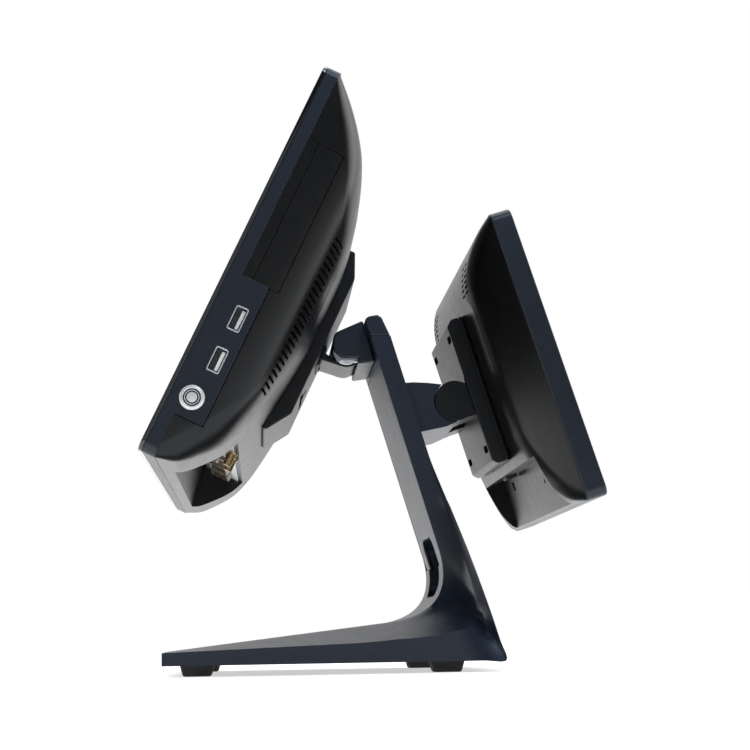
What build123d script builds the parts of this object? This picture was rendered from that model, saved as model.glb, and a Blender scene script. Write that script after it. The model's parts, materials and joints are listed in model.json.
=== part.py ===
from build123d import *
import os
from math import cos, pi, radians, sin, sqrt, tan

# Point-of-sale touch terminal with a cashier display and a customer display on one stand.
# Millimetres. +X is the cashier's right, +Y points from the cashier to the customer, +Z is up.
# The origin is the centre of the base's footprint, on the counter.

# ---------------------------------------------------------------- driving dimensions
MAIN_W, MAIN_H = 375.2, 242.5  # cashier display, outside
MAIN_TILT = 25.4  # degrees back from upright
MAIN_EDGE = (-109.5, 122.9)  # y, z of the lower front edge
GLASS_T = 2.5
BEZEL_T = 10.1  # glass and bezel band together
MAIN_CORNER_R = 6.0
LCD_W, LCD_H, LCD_T = 359.5, 223.8, 5.2
HOUSING_D = 54.5  # depth of the rear housing's flat back

CUST_W, CUST_H = 260.0, 181.3  # customer display, outside
CUST_TILT = 17.1  # degrees, top towards the cashier
CUST_EDGE = (160.1, 101.5)
CUST_BEZEL_T = 13.2
CUST_HOUSING_D = 33.0

PAD_LOW, PAD_HIGH = 26.0, 111.0  # side port pad, up the display
PAD_DEEP = 26.5
PAD_W = 16.0
PAD_WALL = 2.5
USB_W, USB_H = 7.05, 14.1  # outside of a USB-A shell, standing on end
USB_PLACES = ((18.5, 87.5), (18.3, 62.1))  # depth, up
BUTTON_PLACE = (14.7, 37.6)  # depth, up
BUTTON_TRAVEL = 1.5

BAY_HALF = 115.0  # connector bay, half its length
BAY_TOP = 34.0
BAY_FRONT = 12.8

TRAY_HALF = 50.0  # mounting tray on the cashier display
TRAY_LOW, TRAY_HIGH = 56.1, 185.0
TRAY_FRONT, TRAY_BACK = 48.0, 61.0

TILT_AXIS = (13.5, 206.5)  # y, z of the cashier display's hinge
BARREL_R, BARREL_HALF = 9.95, 22.0
SHAFT_R = 5.0
SHAFT_CLEARANCE = 0.05

ARM_AXIS = (81.8, 170.3)  # y, z of the customer display's hinge
ARM_R, ARM_HALF = 13.0, 45.0
ARM_LUG_HALF = 14.7
PIN_R = 4.0

BASE_HALF = 100.0  # base, half its width and half its depth
BASE_FRONT = -101.0
BASE_BOTTOM = 6.4  # height of the feet
SKIRT_TOP = 14.0
RIDGE_HALF = 50.0  # also half the neck's width
HEEL_Y = 101.5
NECK_SLOPE = tan(radians(16.54))
NECK_T = 12.7  # along Y
NECK_TOP = 212.0
FLARE_TOP = 134.0
FILLET_Y, FILLET_Z, FILLET_R = 46.0, 54.5, 27.5  # hollow curve where the neck meets the base
WALL = 3.0
CUT = 1.0  # how far a cut starts outside the face that it opens

VESA = 75.0  # hole spacing of both mounting patterns


class Screen:
    """The frame of one display: depth runs back from the glass, up runs from its lower edge."""

    def __init__(self, edge, tilt, facing):
        self.origin = Vector(0, edge[0], edge[1])
        self.up = Vector(0, -facing * sin(radians(tilt)), cos(radians(tilt)))
        self.deep = Vector(0, -facing * cos(radians(tilt)), -sin(radians(tilt)))

    def point(self, depth, up, x=0):
        return self.origin + self.deep * depth + self.up * up + Vector(x, 0, 0)

    def face(self, depth, up=0.0):
        """Parallel to the glass. Extrusions go deeper. Local X points to the viewer's left."""
        return Plane(origin=self.point(depth, up), x_dir=self.up.cross(self.deep), z_dir=self.deep)

    def side(self, x=0.0):
        """Across the display. Local X is depth and local Y is up."""
        return Plane(origin=self.point(0, 0, x), x_dir=self.deep, z_dir=self.deep.cross(self.up))

    def level(self, up):
        """Square to the up direction. Local X is the object's X. Extrusions go up."""
        return Plane(origin=self.point(0, up), x_dir=(1, 0, 0), z_dir=self.up)


main = Screen(MAIN_EDGE, MAIN_TILT, -1)
cust = Screen(CUST_EDGE, CUST_TILT, 1)
os.makedirs("parts", exist_ok=True)


def finish(piece, name):
    """Labels a finished piece and writes it to its own file."""
    piece.part.label = name
    export_step(piece.part, f"parts/{name}.step")


def across(x=0.0):
    """A plane square to X: local X is the object's Y and local Y is its Z."""
    return Plane(origin=(x, 0, 0), x_dir=(0, 1, 0), z_dir=(1, 0, 0))


# ---------------------------------------------------------------- stand: shape functions
def neck_rear(z):
    return HEEL_Y - NECK_SLOPE * (z - BASE_BOTTOM)


def neck_front(z):
    """The neck's front line, which runs into the base through a hollow curve."""
    line = neck_rear(z) - NECK_T
    reach = FILLET_R**2 - (FILLET_Z - z) ** 2
    if z > FILLET_Z + FILLET_R or reach < 0:
        return line
    curve = FILLET_Y + sqrt(reach)
    return min(line, curve) if z > FILLET_Z - FILLET_R else curve


def flare_half(z):
    """Half the width of the rear panel, which spreads out towards the base."""
    share = min(1.0, max(0.0, (FLARE_TOP - z) / (FLARE_TOP - 30.0)))
    return RIDGE_HALF + (BASE_HALF - 0.5 - RIDGE_HALF) * sin(pi / 2 * share) ** 1.3


def ridge_height(y):
    return SKIRT_TOP + 0.6 + 0.114 * (y - BASE_FRONT)


def skirt_height(y):
    return SKIRT_TOP + 0.034 * (y - BASE_FRONT) + 0.00158 * max(0.0, y - 10.0) ** 2


def roof_height(x, y):
    share = min(1.0, max(0.0, (abs(x) - RIDGE_HALF) / (BASE_HALF - RIDGE_HALF)))
    return ridge_height(y) * (1 - share) + skirt_height(y) * share


def base_outline(y, inset):
    """The base's cross-section. The inset one reaches just below it, so that it opens the underside."""
    half, ridge = BASE_HALF - inset, RIDGE_HALF - inset
    foot = BASE_BOTTOM - (CUT if inset else 0)
    top, low = ridge_height(y) - inset, skirt_height(y) - inset
    return [(-half, foot), (half, foot), (half, low), (ridge, top), (-ridge, top), (-half, low)]


def pillar_outline(z, inset):
    front, rear = neck_front(z) + inset, neck_rear(z) - inset
    narrow, wide = RIDGE_HALF - inset, flare_half(z) - inset
    return [(-narrow, front), (narrow, front), (wide, rear), (-wide, rear)]


BASE_STATIONS = (BASE_FRONT, -45.0, 10.0, 35.0, 55.0, 72.0, 90.0)
PILLAR_LEVELS = (28.0, 32.0, 40.0, 50.0, 62.0, 80.0, 100.0, 118.0, FLARE_TOP, NECK_TOP)

COVER_LOW, COVER_HIGH = 66.0, 196.0
COVER_HALF, COVER_T = 46.4, 2.5
CABLE_HALF, CABLE_LOW, CABLE_HIGH, CABLE_DEEP = 28.0, 46.7, 85.0, 12.0
PLATE_TOP = BASE_BOTTOM + 4.2
BOSS_PLACES = ((-80, -60), (80, -60), (-80, 55), (80, 55), (-30, -85), (30, -85))

# ---------------------------------------------------------------- stand
with BuildPart() as cable_hole:
    with BuildSketch(Plane.XZ.offset(CABLE_DEEP - neck_front(CABLE_LOW))):
        with Locations((0, (CABLE_LOW + CABLE_HIGH) / 2)):
            RectangleRounded(2 * CABLE_HALF, CABLE_HIGH - CABLE_LOW, 10)
    extrude(amount=-CABLE_DEEP - 4)

with BuildPart() as stand_body:
    for y in BASE_STATIONS:
        with BuildSketch(Plane.XZ.offset(-y)):
            Polygon(*base_outline(y, 0), align=None)
    loft(ruled=True)
    for z in (BASE_BOTTOM, 20.0):
        with BuildSketch(Plane.XY.offset(z)):
            Polygon((-99.5, 60), (99.5, 60), (99.5, neck_rear(z)), (-99.5, neck_rear(z)), align=None)
    loft(ruled=True)
    with BuildSketch(Plane.XY.offset(20.0)):
        Polygon((-99.5, 60), (99.5, 60), (99.5, neck_rear(20.0)), (-99.5, neck_rear(20.0)), align=None)
    for z in PILLAR_LEVELS:
        with BuildSketch(Plane.XY.offset(z)):
            Polygon(*pillar_outline(z, 0), align=None)
    loft(ruled=True)
    # hollow inside of the base and the neck
    for y in (BASE_FRONT + WALL, *BASE_STATIONS[1:-1], BASE_STATIONS[-1] - WALL):
        with BuildSketch(Plane.XZ.offset(-y)):
            Polygon(*base_outline(y, WALL), align=None)
    loft(ruled=True, mode=Mode.SUBTRACT)
    with BuildSketch(Plane.XY.offset(BASE_BOTTOM - 1)):
        Polygon((-60, 60), (60, 60), (94, neck_rear(0) - 8), (-94, neck_rear(0) - 8), align=None)
    for z in (*PILLAR_LEVELS[1:-1], NECK_TOP - WALL):
        with BuildSketch(Plane.XY.offset(z)):
            Polygon(*pillar_outline(z, WALL), align=None)
    loft(ruled=True, mode=Mode.SUBTRACT)
    # opening for the front cover plate, and the cable hole below it
    with BuildSketch(across()):
        Polygon(
            (neck_front(COVER_LOW) - 5, COVER_LOW),
            (neck_front(COVER_LOW) + COVER_T, COVER_LOW),
            (neck_front(COVER_HIGH) + COVER_T, COVER_HIGH),
            (neck_front(COVER_HIGH) - 5, COVER_HIGH),
            align=None,
        )
    extrude(amount=COVER_HALF + 0.2, both=True, mode=Mode.SUBTRACT)
    add(cable_hole.part, mode=Mode.SUBTRACT)
    # screw bosses for the base plate
    for place in BOSS_PLACES:
        with BuildSketch(Plane.XY.offset(PLATE_TOP)):
            with Locations(place):
                Circle(5)
        extrude(amount=roof_height(*place) - 1.5 - PLATE_TOP)
        with BuildSketch(Plane.XY.offset(PLATE_TOP)):
            with Locations(place):
                Circle(2)
        extrude(amount=3.2, mode=Mode.SUBTRACT)
finish(stand_body, "stand_body")

with BuildPart() as neck_front_cover:
    with BuildSketch(across()):
        Polygon(
            (neck_front(COVER_LOW + 0.2), COVER_LOW + 0.2),
            (neck_front(COVER_LOW + 0.2) + COVER_T, COVER_LOW + 0.2),
            (neck_front(COVER_HIGH) + COVER_T, COVER_HIGH),
            (neck_front(COVER_HIGH), COVER_HIGH),
            align=None,
        )
    extrude(amount=COVER_HALF, both=True)
    add(cable_hole.part, mode=Mode.SUBTRACT)
finish(neck_front_cover, "neck_front_cover")

with BuildPart() as base_plate:
    with BuildSketch(Plane.XY.offset(BASE_BOTTOM + 0.1)):
        with Locations((0, -7)):
            RectangleRounded(193, 180, 6)
    extrude(amount=4)
    with BuildSketch(Plane.XY.offset(BASE_BOTTOM + 0.1)):
        with Locations(*BOSS_PLACES):
            Circle(2.2)
    extrude(amount=4, mode=Mode.SUBTRACT)
    with BuildSketch(Plane.XY.offset(BASE_BOTTOM + 0.1)):
        with Locations(*BOSS_PLACES):
            Circle(4)
    extrude(amount=2.2, mode=Mode.SUBTRACT)
finish(base_plate, "base_plate")

with BuildPart() as base_plate_screws:
    with BuildSketch(Plane.XY.offset(BASE_BOTTOM + 0.3)):
        with Locations(*BOSS_PLACES):
            Circle(3.7)
            RegularPolygon(1.5, 6, mode=Mode.SUBTRACT)
    extrude(amount=2)
    with BuildSketch(Plane.XY.offset(BASE_BOTTOM + 1.5)):
        with Locations(*BOSS_PLACES):
            Circle(1.9)
    extrude(amount=5.6)
finish(base_plate_screws, "base_plate_screws")

FOOT_PLACES = [(x, y) for x in (-79, 79) for y in (-81, 68)]
with BuildPart() as rubber_feet:
    with BuildSketch():
        with Locations(*FOOT_PLACES):
            RectangleRounded(17, 17, 2)
    extrude(amount=BASE_BOTTOM + 0.1, taper=-15)
finish(rubber_feet, "rubber_feet")


# ---------------------------------------------------------------- cashier hinge, on the stand
with BuildPart() as neck_cap:
    with BuildSketch(across()):
        Polygon(
            (neck_front(NECK_TOP), NECK_TOP),
            (24.6, 221.5),
            (25.4, 226.2),
            (33.0, 228.9),
            (36.5, 226.0),
            (neck_rear(NECK_TOP), NECK_TOP),
            align=None,
        )
    extrude(amount=RIDGE_HALF, both=True)
    edges = neck_cap.edges().filter_by(Axis.X)
    fillet(edges.group_by(Axis.Z)[-1] + edges.group_by(Axis.Z)[-2], radius=2)
finish(neck_cap, "neck_cap")

SHROUD_HALF, SHROUD_WALL = 35.0, 2.2
EAR_IN, EAR_OUT = 24.5, 28.5
with BuildPart() as hinge_shroud:
    with BuildSketch(across()):
        Polygon((4.1, 205.3), (6.1, 217.3), (23.8, 225.1), (24.4, 221.5), (31.0, 200.3), (10.0, 200.3), align=None)
    extrude(amount=SHROUD_HALF, both=True)
    with BuildSketch(across()):
        Polygon((20.4, 196.4), (31.9, 196.4), (31.0, 200.4), (20.4, 200.4), align=None)
    extrude(amount=SHROUD_HALF, both=True)
    with BuildSketch(across()):
        Polygon((0, 190), (0, 212.2), (22.7, 222.2), (22.7, 198.6), (19, 198.6), (19, 190), align=None)
    extrude(amount=SHROUD_HALF - SHROUD_WALL, both=True, mode=Mode.SUBTRACT)
    with BuildSketch(across()):
        with Locations(TILT_AXIS):
            Circle(BARREL_R + 0.6)
    extrude(amount=SHROUD_HALF - SHROUD_WALL, both=True, mode=Mode.SUBTRACT)
    # the shroud's back lies on the neck's front
    with BuildSketch(across()):
        Polygon((neck_front(190), 190), (neck_front(232), 232), (60, 232), (60, 190), align=None)
    extrude(amount=SHROUD_HALF + 5, both=True, mode=Mode.SUBTRACT)
    chamfer(hinge_shroud.edges().filter_by(Axis.X).group_by(Axis.Z)[-1], length=0.5)
finish(hinge_shroud, "hinge_shroud")

with BuildPart() as hinge_bracket:
    with BuildSketch(across()):
        Polygon((19.0, 198.8), (22.5, 198.8), (22.5, 217.0), (19.0, 217.0), align=None)
    extrude(amount=EAR_OUT, both=True)
    for side in (-1, 1):
        with BuildSketch(across(side * (EAR_IN + EAR_OUT) / 2)):
            with Locations(TILT_AXIS):
                Circle(9)
            Polygon((13.5, 198.8), (19.5, 198.8), (19.5, 215.4), (13.5, 215.4), align=None)
        extrude(amount=(EAR_OUT - EAR_IN) / 2, both=True)
    # clear of the barrel, and bored for the shaft
    with BuildSketch(across()):
        with Locations(TILT_AXIS):
            Circle(BARREL_R + 0.6)
    extrude(amount=EAR_IN, both=True, mode=Mode.SUBTRACT)
    with BuildSketch(across()):
        with Locations(TILT_AXIS):
            Circle(SHAFT_R)
    extrude(amount=40, both=True, mode=Mode.SUBTRACT)
finish(hinge_bracket, "hinge_bracket")

with BuildPart() as tilt_shaft:
    with BuildSketch(across()):
        with Locations(TILT_AXIS):
            Circle(SHAFT_R)
    extrude(amount=31.8, both=True)
    chamfer(tilt_shaft.edges().filter_by(GeomType.CIRCLE), length=0.6)
finish(tilt_shaft, "tilt_shaft")

with BuildPart() as tilt_washers:
    for side in (-1, 1):
        for step in range(2):
            with BuildSketch(across(side * (23.0 + step * 1.0))):
                with Locations(TILT_AXIS):
                    Circle(8.5)
                    Circle(SHAFT_R, mode=Mode.SUBTRACT)
            extrude(amount=0.4, both=True)
finish(tilt_washers, "tilt_washers")

with BuildPart() as tilt_nuts:
    for side in (-1, 1):
        with BuildSketch(across(side * 30.1)):
            with Locations(TILT_AXIS):
                RegularPolygon(7.5, 6, major_radius=False)
                Circle(SHAFT_R, mode=Mode.SUBTRACT)
        extrude(amount=1.5, both=True)
finish(tilt_nuts, "tilt_nuts")

# ---------------------------------------------------------------- customer arm, on the stand
SEAT_R = ARM_R + 0.5
with BuildPart() as customer_arm:
    with BuildSketch(across()):
        Polygon(
            (neck_rear(182.0), 182.0),
            (55.0, 182.4),
            (64.0, 182.0),
            (73.5, 180.6),
            ARM_AXIS,
            (86.0, 158.6),
            (76.0, 153.6),
            (neck_rear(150.0), 150.0),
            align=None,
        )
    extrude(amount=ARM_HALF, both=True)
    with BuildSketch(across()):
        with Locations(ARM_AXIS):
            Circle(SEAT_R)
    extrude(amount=ARM_HALF + 1, both=True, mode=Mode.SUBTRACT)
    # centre lug that carries the pin
    with BuildSketch(across()):
        with Locations(ARM_AXIS):
            Circle(ARM_R - 3.5)
        Polygon((66, 178), (79, 181), (79, 159.5), (66, 163), align=None)
    extrude(amount=ARM_LUG_HALF, both=True)
    with BuildSketch(across()):
        with Locations(ARM_AXIS):
            Circle(PIN_R)
    extrude(amount=ARM_HALF + 1, both=True, mode=Mode.SUBTRACT)
finish(customer_arm, "customer_arm")

with BuildPart() as customer_arm_pin:
    with BuildSketch(across()):
        with Locations(ARM_AXIS):
            Circle(PIN_R)
    extrude(amount=ARM_LUG_HALF + 14, both=True)
finish(customer_arm_pin, "customer_arm_pin")

# ---------------------------------------------------------------- cashier display: front
with BuildPart() as touch_glass:
    with BuildSketch(main.face(0, MAIN_H / 2)):
        RectangleRounded(MAIN_W, MAIN_H, MAIN_CORNER_R)
    extrude(amount=GLASS_T)
    chamfer(touch_glass.faces().sort_by(Axis.Y)[0].edges(), length=0.4)
finish(touch_glass, "touch_glass")

PAD_TOP_X = MAIN_W / 2
PAD_ROOT_X = PAD_TOP_X - PAD_W
with BuildPart() as front_bezel:
    with BuildSketch(main.face(GLASS_T, MAIN_H / 2)):
        RectangleRounded(MAIN_W, MAIN_H, MAIN_CORNER_R)
        RectangleRounded(LCD_W + 2, LCD_H + 2, 2, mode=Mode.SUBTRACT)
    extrude(amount=BEZEL_T - GLASS_T)
    # side port pad: a hollow box, level with the bezel's side
    with BuildSketch(main.side(PAD_ROOT_X)):
        with Locations(((BEZEL_T + PAD_DEEP) / 2 - 0.5, (PAD_LOW + PAD_HIGH) / 2)):
            Rectangle(PAD_DEEP - BEZEL_T + 1, PAD_HIGH - PAD_LOW)
    extrude(amount=PAD_W)
    with BuildSketch(main.side(PAD_ROOT_X - 1)):
        with Locations(((BEZEL_T + PAD_DEEP - 2) / 2, (PAD_LOW + PAD_HIGH) / 2)):
            Rectangle(PAD_DEEP - 2 - BEZEL_T, PAD_HIGH - PAD_LOW - 4)
    extrude(amount=PAD_W + 1 - PAD_WALL, mode=Mode.SUBTRACT)
    with BuildSketch(main.side(PAD_TOP_X - PAD_W - 1)):
        with Locations(*USB_PLACES):
            RectangleRounded(USB_W + 0.3, USB_H + 0.3, 1.2)
        with Locations(BUTTON_PLACE):
            Circle(6.05)
    extrude(amount=PAD_W + 2, mode=Mode.SUBTRACT)
    with BuildSketch(main.side(PAD_ROOT_X - 1)):
        with Locations(BUTTON_PLACE):
            Circle(8.4)
    extrude(amount=PAD_W + 1 - PAD_WALL, mode=Mode.SUBTRACT)
finish(front_bezel, "front_bezel")

with BuildPart() as lcd_panel:
    with BuildSketch(main.face(GLASS_T, MAIN_H / 2)):
        Rectangle(LCD_W, LCD_H)
    extrude(amount=LCD_T)
finish(lcd_panel, "lcd_panel")

# ---------------------------------------------------------------- cashier display: rear housing
# Each station is a depth, half a width, a lower edge, an upper edge and a corner radius.
HOUSING = (
    (BEZEL_T, 186.8, 0.3, 242.0, 8),
    (20.0, 184.5, 4.0, 234.5, 18),
    (31.0, 181.5, 14.5, 223.0, 24),
    (39.0, 178.0, 25.0, 212.0, 28),
    (44.5, 172.5, 39.0, 201.0, 30),
    (49.0, 163.0, 62.0, 189.0, 32),
    (52.5, 148.0, 88.0, 176.0, 28),
    (HOUSING_D, 130.0, 110.0, 160.0, 20),
)
SKIN_SIDE, SKIN_BACK = 1.8, 2.2
BOARD_D, BOARD_T = 20.0, 1.6
BOARD_W, BOARD_H, BOARD_UP = 230.0, 150.0, 115.0
BOARD_BACK = BOARD_D + BOARD_T
BOARD_HOLES = (BOARD_W - 12, BOARD_H - 12)
# Connectors hang from the motherboard's lower edge into the bay: X centre, width, depth reached.
PORTS = {
    "power_inlet": ((92.0, 15.0, 35.0),),
    "lan_jack": ((66.0, 16.5, 36.0),),
    "usb_stack": ((40.0, 15.0, 37.0),),
    "video_port": ((8.0, 16.0, 29.0),),
    "serial_ports": ((-38.0, 31.0, 35.0), (-80.0, 31.0, 35.0)),
}
PORT_LOW, PORT_HIGH = 28.5, 56.0
ALL_PORTS = [port for group in PORTS.values() for port in group]
PAD_GAP = 0.2
BLANK_PLACE, BLANK_SIZE, BLANK_GAP = (24.0, 155.0), (16.0, 88.0), 0.3  # depth and up
BLANK_ROOT = MAIN_W / 2 - 9
VENT_COUNT, VENT_PITCH, VENT_LONG, VENT_HIGH = 25, 4.0, 18.0, 1.8
VENT_X, VENT_LOW = 160.0, 61.0

with BuildPart() as housing_cavity:
    for depth, half, low, high, corner in HOUSING:
        with BuildSketch(main.face(depth - SKIN_BACK, (low + high) / 2)):
            RectangleRounded(2 * (half - SKIN_SIDE), high - low - 2 * SKIN_SIDE, corner)
    loft()
    # solid behind the mounting tray's seat and around the connector bay
    with BuildSketch(main.face(TRAY_FRONT - SKIN_BACK, (TRAY_LOW + TRAY_HIGH) / 2)):
        Rectangle(2 * TRAY_HALF + 6, TRAY_HIGH - TRAY_LOW + 4)
    extrude(amount=20, mode=Mode.SUBTRACT)
    with BuildSketch(main.side()):
        Polygon((5, -5), (5, 8), (BAY_FRONT - 2, BAY_TOP + 2), (60, BAY_TOP + 2), (60, -5), align=None)
    extrude(amount=BAY_HALF + 2, both=True, mode=Mode.SUBTRACT)

with BuildPart() as rear_housing:
    for depth, half, low, high, corner in HOUSING:
        with BuildSketch(main.face(depth, (low + high) / 2)):
            RectangleRounded(2 * half, high - low, corner)
    loft()
    add(housing_cavity.part, mode=Mode.SUBTRACT)
    with BuildSketch(main.side()):
        Polygon((17.4, -5), (17.4, 0), (BAY_FRONT, BAY_TOP), (70, BAY_TOP), (70, -5), align=None)
    extrude(amount=BAY_HALF, both=True, mode=Mode.SUBTRACT)
    with BuildSketch(main.face(TRAY_FRONT, (TRAY_LOW + TRAY_HIGH) / 2)):
        Rectangle(2 * TRAY_HALF + 0.8, TRAY_HIGH - TRAY_LOW + 0.8)
    extrude(amount=20, mode=Mode.SUBTRACT)
    with BuildSketch(main.side(PAD_ROOT_X - PAD_GAP)):
        with Locations(((BEZEL_T + PAD_DEEP + PAD_GAP - 6) / 2, (PAD_LOW + PAD_HIGH) / 2)):
            Rectangle(PAD_DEEP + PAD_GAP + 6 - BEZEL_T, PAD_HIGH - PAD_LOW + 2 * PAD_GAP)
    extrude(amount=30, mode=Mode.SUBTRACT)
    # vent slots over both rear side corners
    for side in (-1, 1):
        with BuildSketch(main.face(43.0)):
            with Locations(*[(side * VENT_X, VENT_LOW + VENT_PITCH * i) for i in range(VENT_COUNT)]):
                SlotOverall(VENT_LONG, VENT_HIGH)
        extrude(amount=14, mode=Mode.SUBTRACT)
    with BuildSketch(main.level(BAY_TOP - 1)):
        for x, width, deep in ALL_PORTS:
            with Locations((x, (BOARD_BACK + deep) / 2)):
                Rectangle(width + 0.3, deep - BOARD_BACK + 0.3)
    extrude(amount=4, mode=Mode.SUBTRACT)
    # recess for the blank cover above the pad
    with BuildSketch(main.side(BLANK_ROOT)):
        with Locations(BLANK_PLACE):
            Rectangle(*BLANK_SIZE)
    extrude(amount=12, mode=Mode.SUBTRACT)
finish(rear_housing, "rear_housing")

with BuildPart() as card_reader_blank:
    for depth, half, low, high, corner in HOUSING:
        with BuildSketch(main.face(depth, (low + high) / 2)):
            RectangleRounded(2 * half, high - low, corner)
    loft()
    for depth, half, low, high, corner in HOUSING:
        with BuildSketch(main.face(depth - SKIN_BACK, (low + high) / 2)):
            RectangleRounded(2 * (half - SKIN_SIDE), high - low - 2 * SKIN_SIDE, corner)
    loft(mode=Mode.SUBTRACT)
    with BuildSketch(main.side(BLANK_ROOT)):
        with Locations(BLANK_PLACE):
            Rectangle(BLANK_SIZE[0] - BLANK_GAP, BLANK_SIZE[1] - BLANK_GAP)
    extrude(amount=12, mode=Mode.INTERSECT)
finish(card_reader_blank, "card_reader_blank")

# ---------------------------------------------------------------- cashier display: inside
with BuildPart() as chassis_plate:
    with BuildSketch(main.face(BEZEL_T + 0.2, 130)):
        RectangleRounded(336, 180, 4)
        with GridLocations(110, 90, 3, 2):
            SlotOverall(60, 12, mode=Mode.SUBTRACT)
    extrude(amount=1.2)
finish(chassis_plate, "chassis_plate")

CHASSIS_BACK = BEZEL_T + 1.4
with BuildPart() as motherboard:
    with BuildSketch(main.face(BOARD_D, BOARD_UP)):
        Rectangle(BOARD_W, BOARD_H)
        with GridLocations(*BOARD_HOLES, 2, 2):
            Circle(1.7, mode=Mode.SUBTRACT)
    extrude(amount=BOARD_T)
finish(motherboard, "motherboard")

with BuildPart() as board_standoffs:
    with BuildSketch(main.face(CHASSIS_BACK, BOARD_UP)):
        with GridLocations(*BOARD_HOLES, 2, 2):
            RegularPolygon(3.2, 6)
    extrude(amount=BOARD_D - CHASSIS_BACK)
    with BuildSketch(main.face(BOARD_D, BOARD_UP)):
        with GridLocations(*BOARD_HOLES, 2, 2):
            Circle(1.6)
    extrude(amount=BOARD_T + 0.1)
    with BuildSketch(main.face(BOARD_BACK + 0.05, BOARD_UP)):
        with GridLocations(*BOARD_HOLES, 2, 2):
            Circle(3)
    extrude(amount=1.6)
finish(board_standoffs, "board_standoffs")

CHIP_T = 1.8
with BuildPart() as processor:
    with BuildSketch(main.face(BOARD_BACK, 125)):
        Rectangle(28, 24)
    extrude(amount=CHIP_T)
finish(processor, "processor")

SINK_D = BOARD_BACK + CHIP_T
with BuildPart() as cpu_heatsink:
    with BuildSketch(main.face(SINK_D, 125)):
        Rectangle(94, 84)
    extrude(amount=4)
    with BuildSketch(main.face(SINK_D + 4, 125)):
        with GridLocations(6, 1, 16, 1):
            Rectangle(1.4, 84)
    extrude(amount=14)
finish(cpu_heatsink, "cpu_heatsink")

with BuildPart() as memory_module:
    with BuildSketch(main.face(BOARD_BACK, 160)):
        with Locations((-85, 0)):
            Rectangle(20, 6)
    extrude(amount=4)
    with BuildSketch(main.face(BOARD_BACK + 1.4, 146)):
        with Locations((-85, 0)):
            Rectangle(40, 30)
    extrude(amount=2.4)
finish(memory_module, "memory_module")

with BuildPart() as wireless_card:
    with BuildSketch(main.face(BOARD_BACK, 150)):
        with Locations((80, 0)):
            Rectangle(30, 22)
    extrude(amount=3)
finish(wireless_card, "wireless_card")

with BuildPart() as storage_drive:
    with BuildSketch(main.face(CHASSIS_BACK, 160)):
        with Locations((0, 0)):
            RectangleRounded(100, 56, 2)
    extrude(amount=7)
finish(storage_drive, "storage_drive")

with BuildPart() as speakers:
    with BuildSketch(main.face(BEZEL_T + 1.4, 62)):
        with Locations((-142, 0), (142, 0)):
            RectangleRounded(38, 26, 4)
    extrude(amount=14)
finish(speakers, "speakers")

with BuildPart() as touch_controller:
    with BuildSketch(main.face(CHASSIS_BACK, 205)):
        with Locations((-110, 0)):
            Rectangle(62, 18)
    extrude(amount=2)
finish(touch_controller, "touch_controller")

with BuildPart() as port_plate:
    with BuildSketch(main.level(BAY_TOP - 1.1)):
        with Locations((0, 27.0)):
            Rectangle(2 * BAY_HALF - 3, 25)
        for x, width, deep in ALL_PORTS:
            with Locations((x, (BOARD_BACK + deep) / 2)):
                Rectangle(width + 0.3, deep - BOARD_BACK + 0.3, mode=Mode.SUBTRACT)
    extrude(amount=1)
finish(port_plate, "port_plate")

for port_name, group in PORTS.items():
    with BuildPart() as port:
        for x, width, deep in group:
            with BuildSketch(main.level(PORT_LOW)):
                with Locations((x, (BOARD_BACK + deep) / 2)):
                    RectangleRounded(width, deep - BOARD_BACK, 1)
            extrude(amount=PORT_HIGH - PORT_LOW)
            # the socket's mouth
            with BuildSketch(main.level(PORT_LOW)):
                with Locations((x, (BOARD_BACK + deep) / 2)):
                    RectangleRounded(width - 3, deep - BOARD_BACK - 3, 1)
            extrude(amount=9, mode=Mode.SUBTRACT)
    finish(port, port_name)

with BuildPart() as side_usb_shells:
    for spot in USB_PLACES:
        with BuildSketch(main.side(PAD_TOP_X - 15)):
            with Locations(spot):
                RectangleRounded(USB_W, USB_H, 1)
        extrude(amount=14.7)
        with BuildSketch(main.side(PAD_TOP_X - 13)):
            with Locations(spot):
                RectangleRounded(USB_W - 1, USB_H - 1, 0.6)
        extrude(amount=13, mode=Mode.SUBTRACT)
finish(side_usb_shells, "side_usb_shells")

with BuildPart() as side_usb_tongues:
    for depth, up in USB_PLACES:
        with BuildSketch(main.side(PAD_TOP_X - 13)):
            with Locations((depth + 1.3, up)):
                Rectangle(1.9, USB_H - 3)
        extrude(amount=11)
finish(side_usb_tongues, "side_usb_tongues")

BUSH_R, RING_R, RING_T, BORE_R, PLUNGER_R = 5.95, 7.0, 1.6, 4.8, 4.72
with BuildPart() as power_button_bush:
    with BuildSketch(main.side(PAD_TOP_X - 14)):
        with Locations(BUTTON_PLACE):
            Circle(BUSH_R)
    extrude(amount=14.1)
    with BuildSketch(main.side(PAD_TOP_X)):
        with Locations(BUTTON_PLACE):
            Circle(RING_R)
    extrude(amount=RING_T)
    chamfer(power_button_bush.edges().filter_by(GeomType.CIRCLE).sort_by(Axis.X)[-1], length=0.6)
    with BuildSketch(main.side(PAD_TOP_X - 10)):
        with Locations(BUTTON_PLACE):
            Circle(BORE_R)
    extrude(amount=20, mode=Mode.SUBTRACT)
finish(power_button_bush, "power_button_bush")

with BuildPart() as power_button_plunger:
    with BuildSketch(main.side(PAD_TOP_X - 10 + BUTTON_TRAVEL + 0.5)):
        with Locations(BUTTON_PLACE):
            Circle(PLUNGER_R)
    extrude(amount=10 - BUTTON_TRAVEL - 0.5 + RING_T)
    chamfer(power_button_plunger.edges().filter_by(GeomType.CIRCLE).sort_by(Axis.X)[-1], length=0.4)
finish(power_button_plunger, "power_button_plunger")

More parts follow.
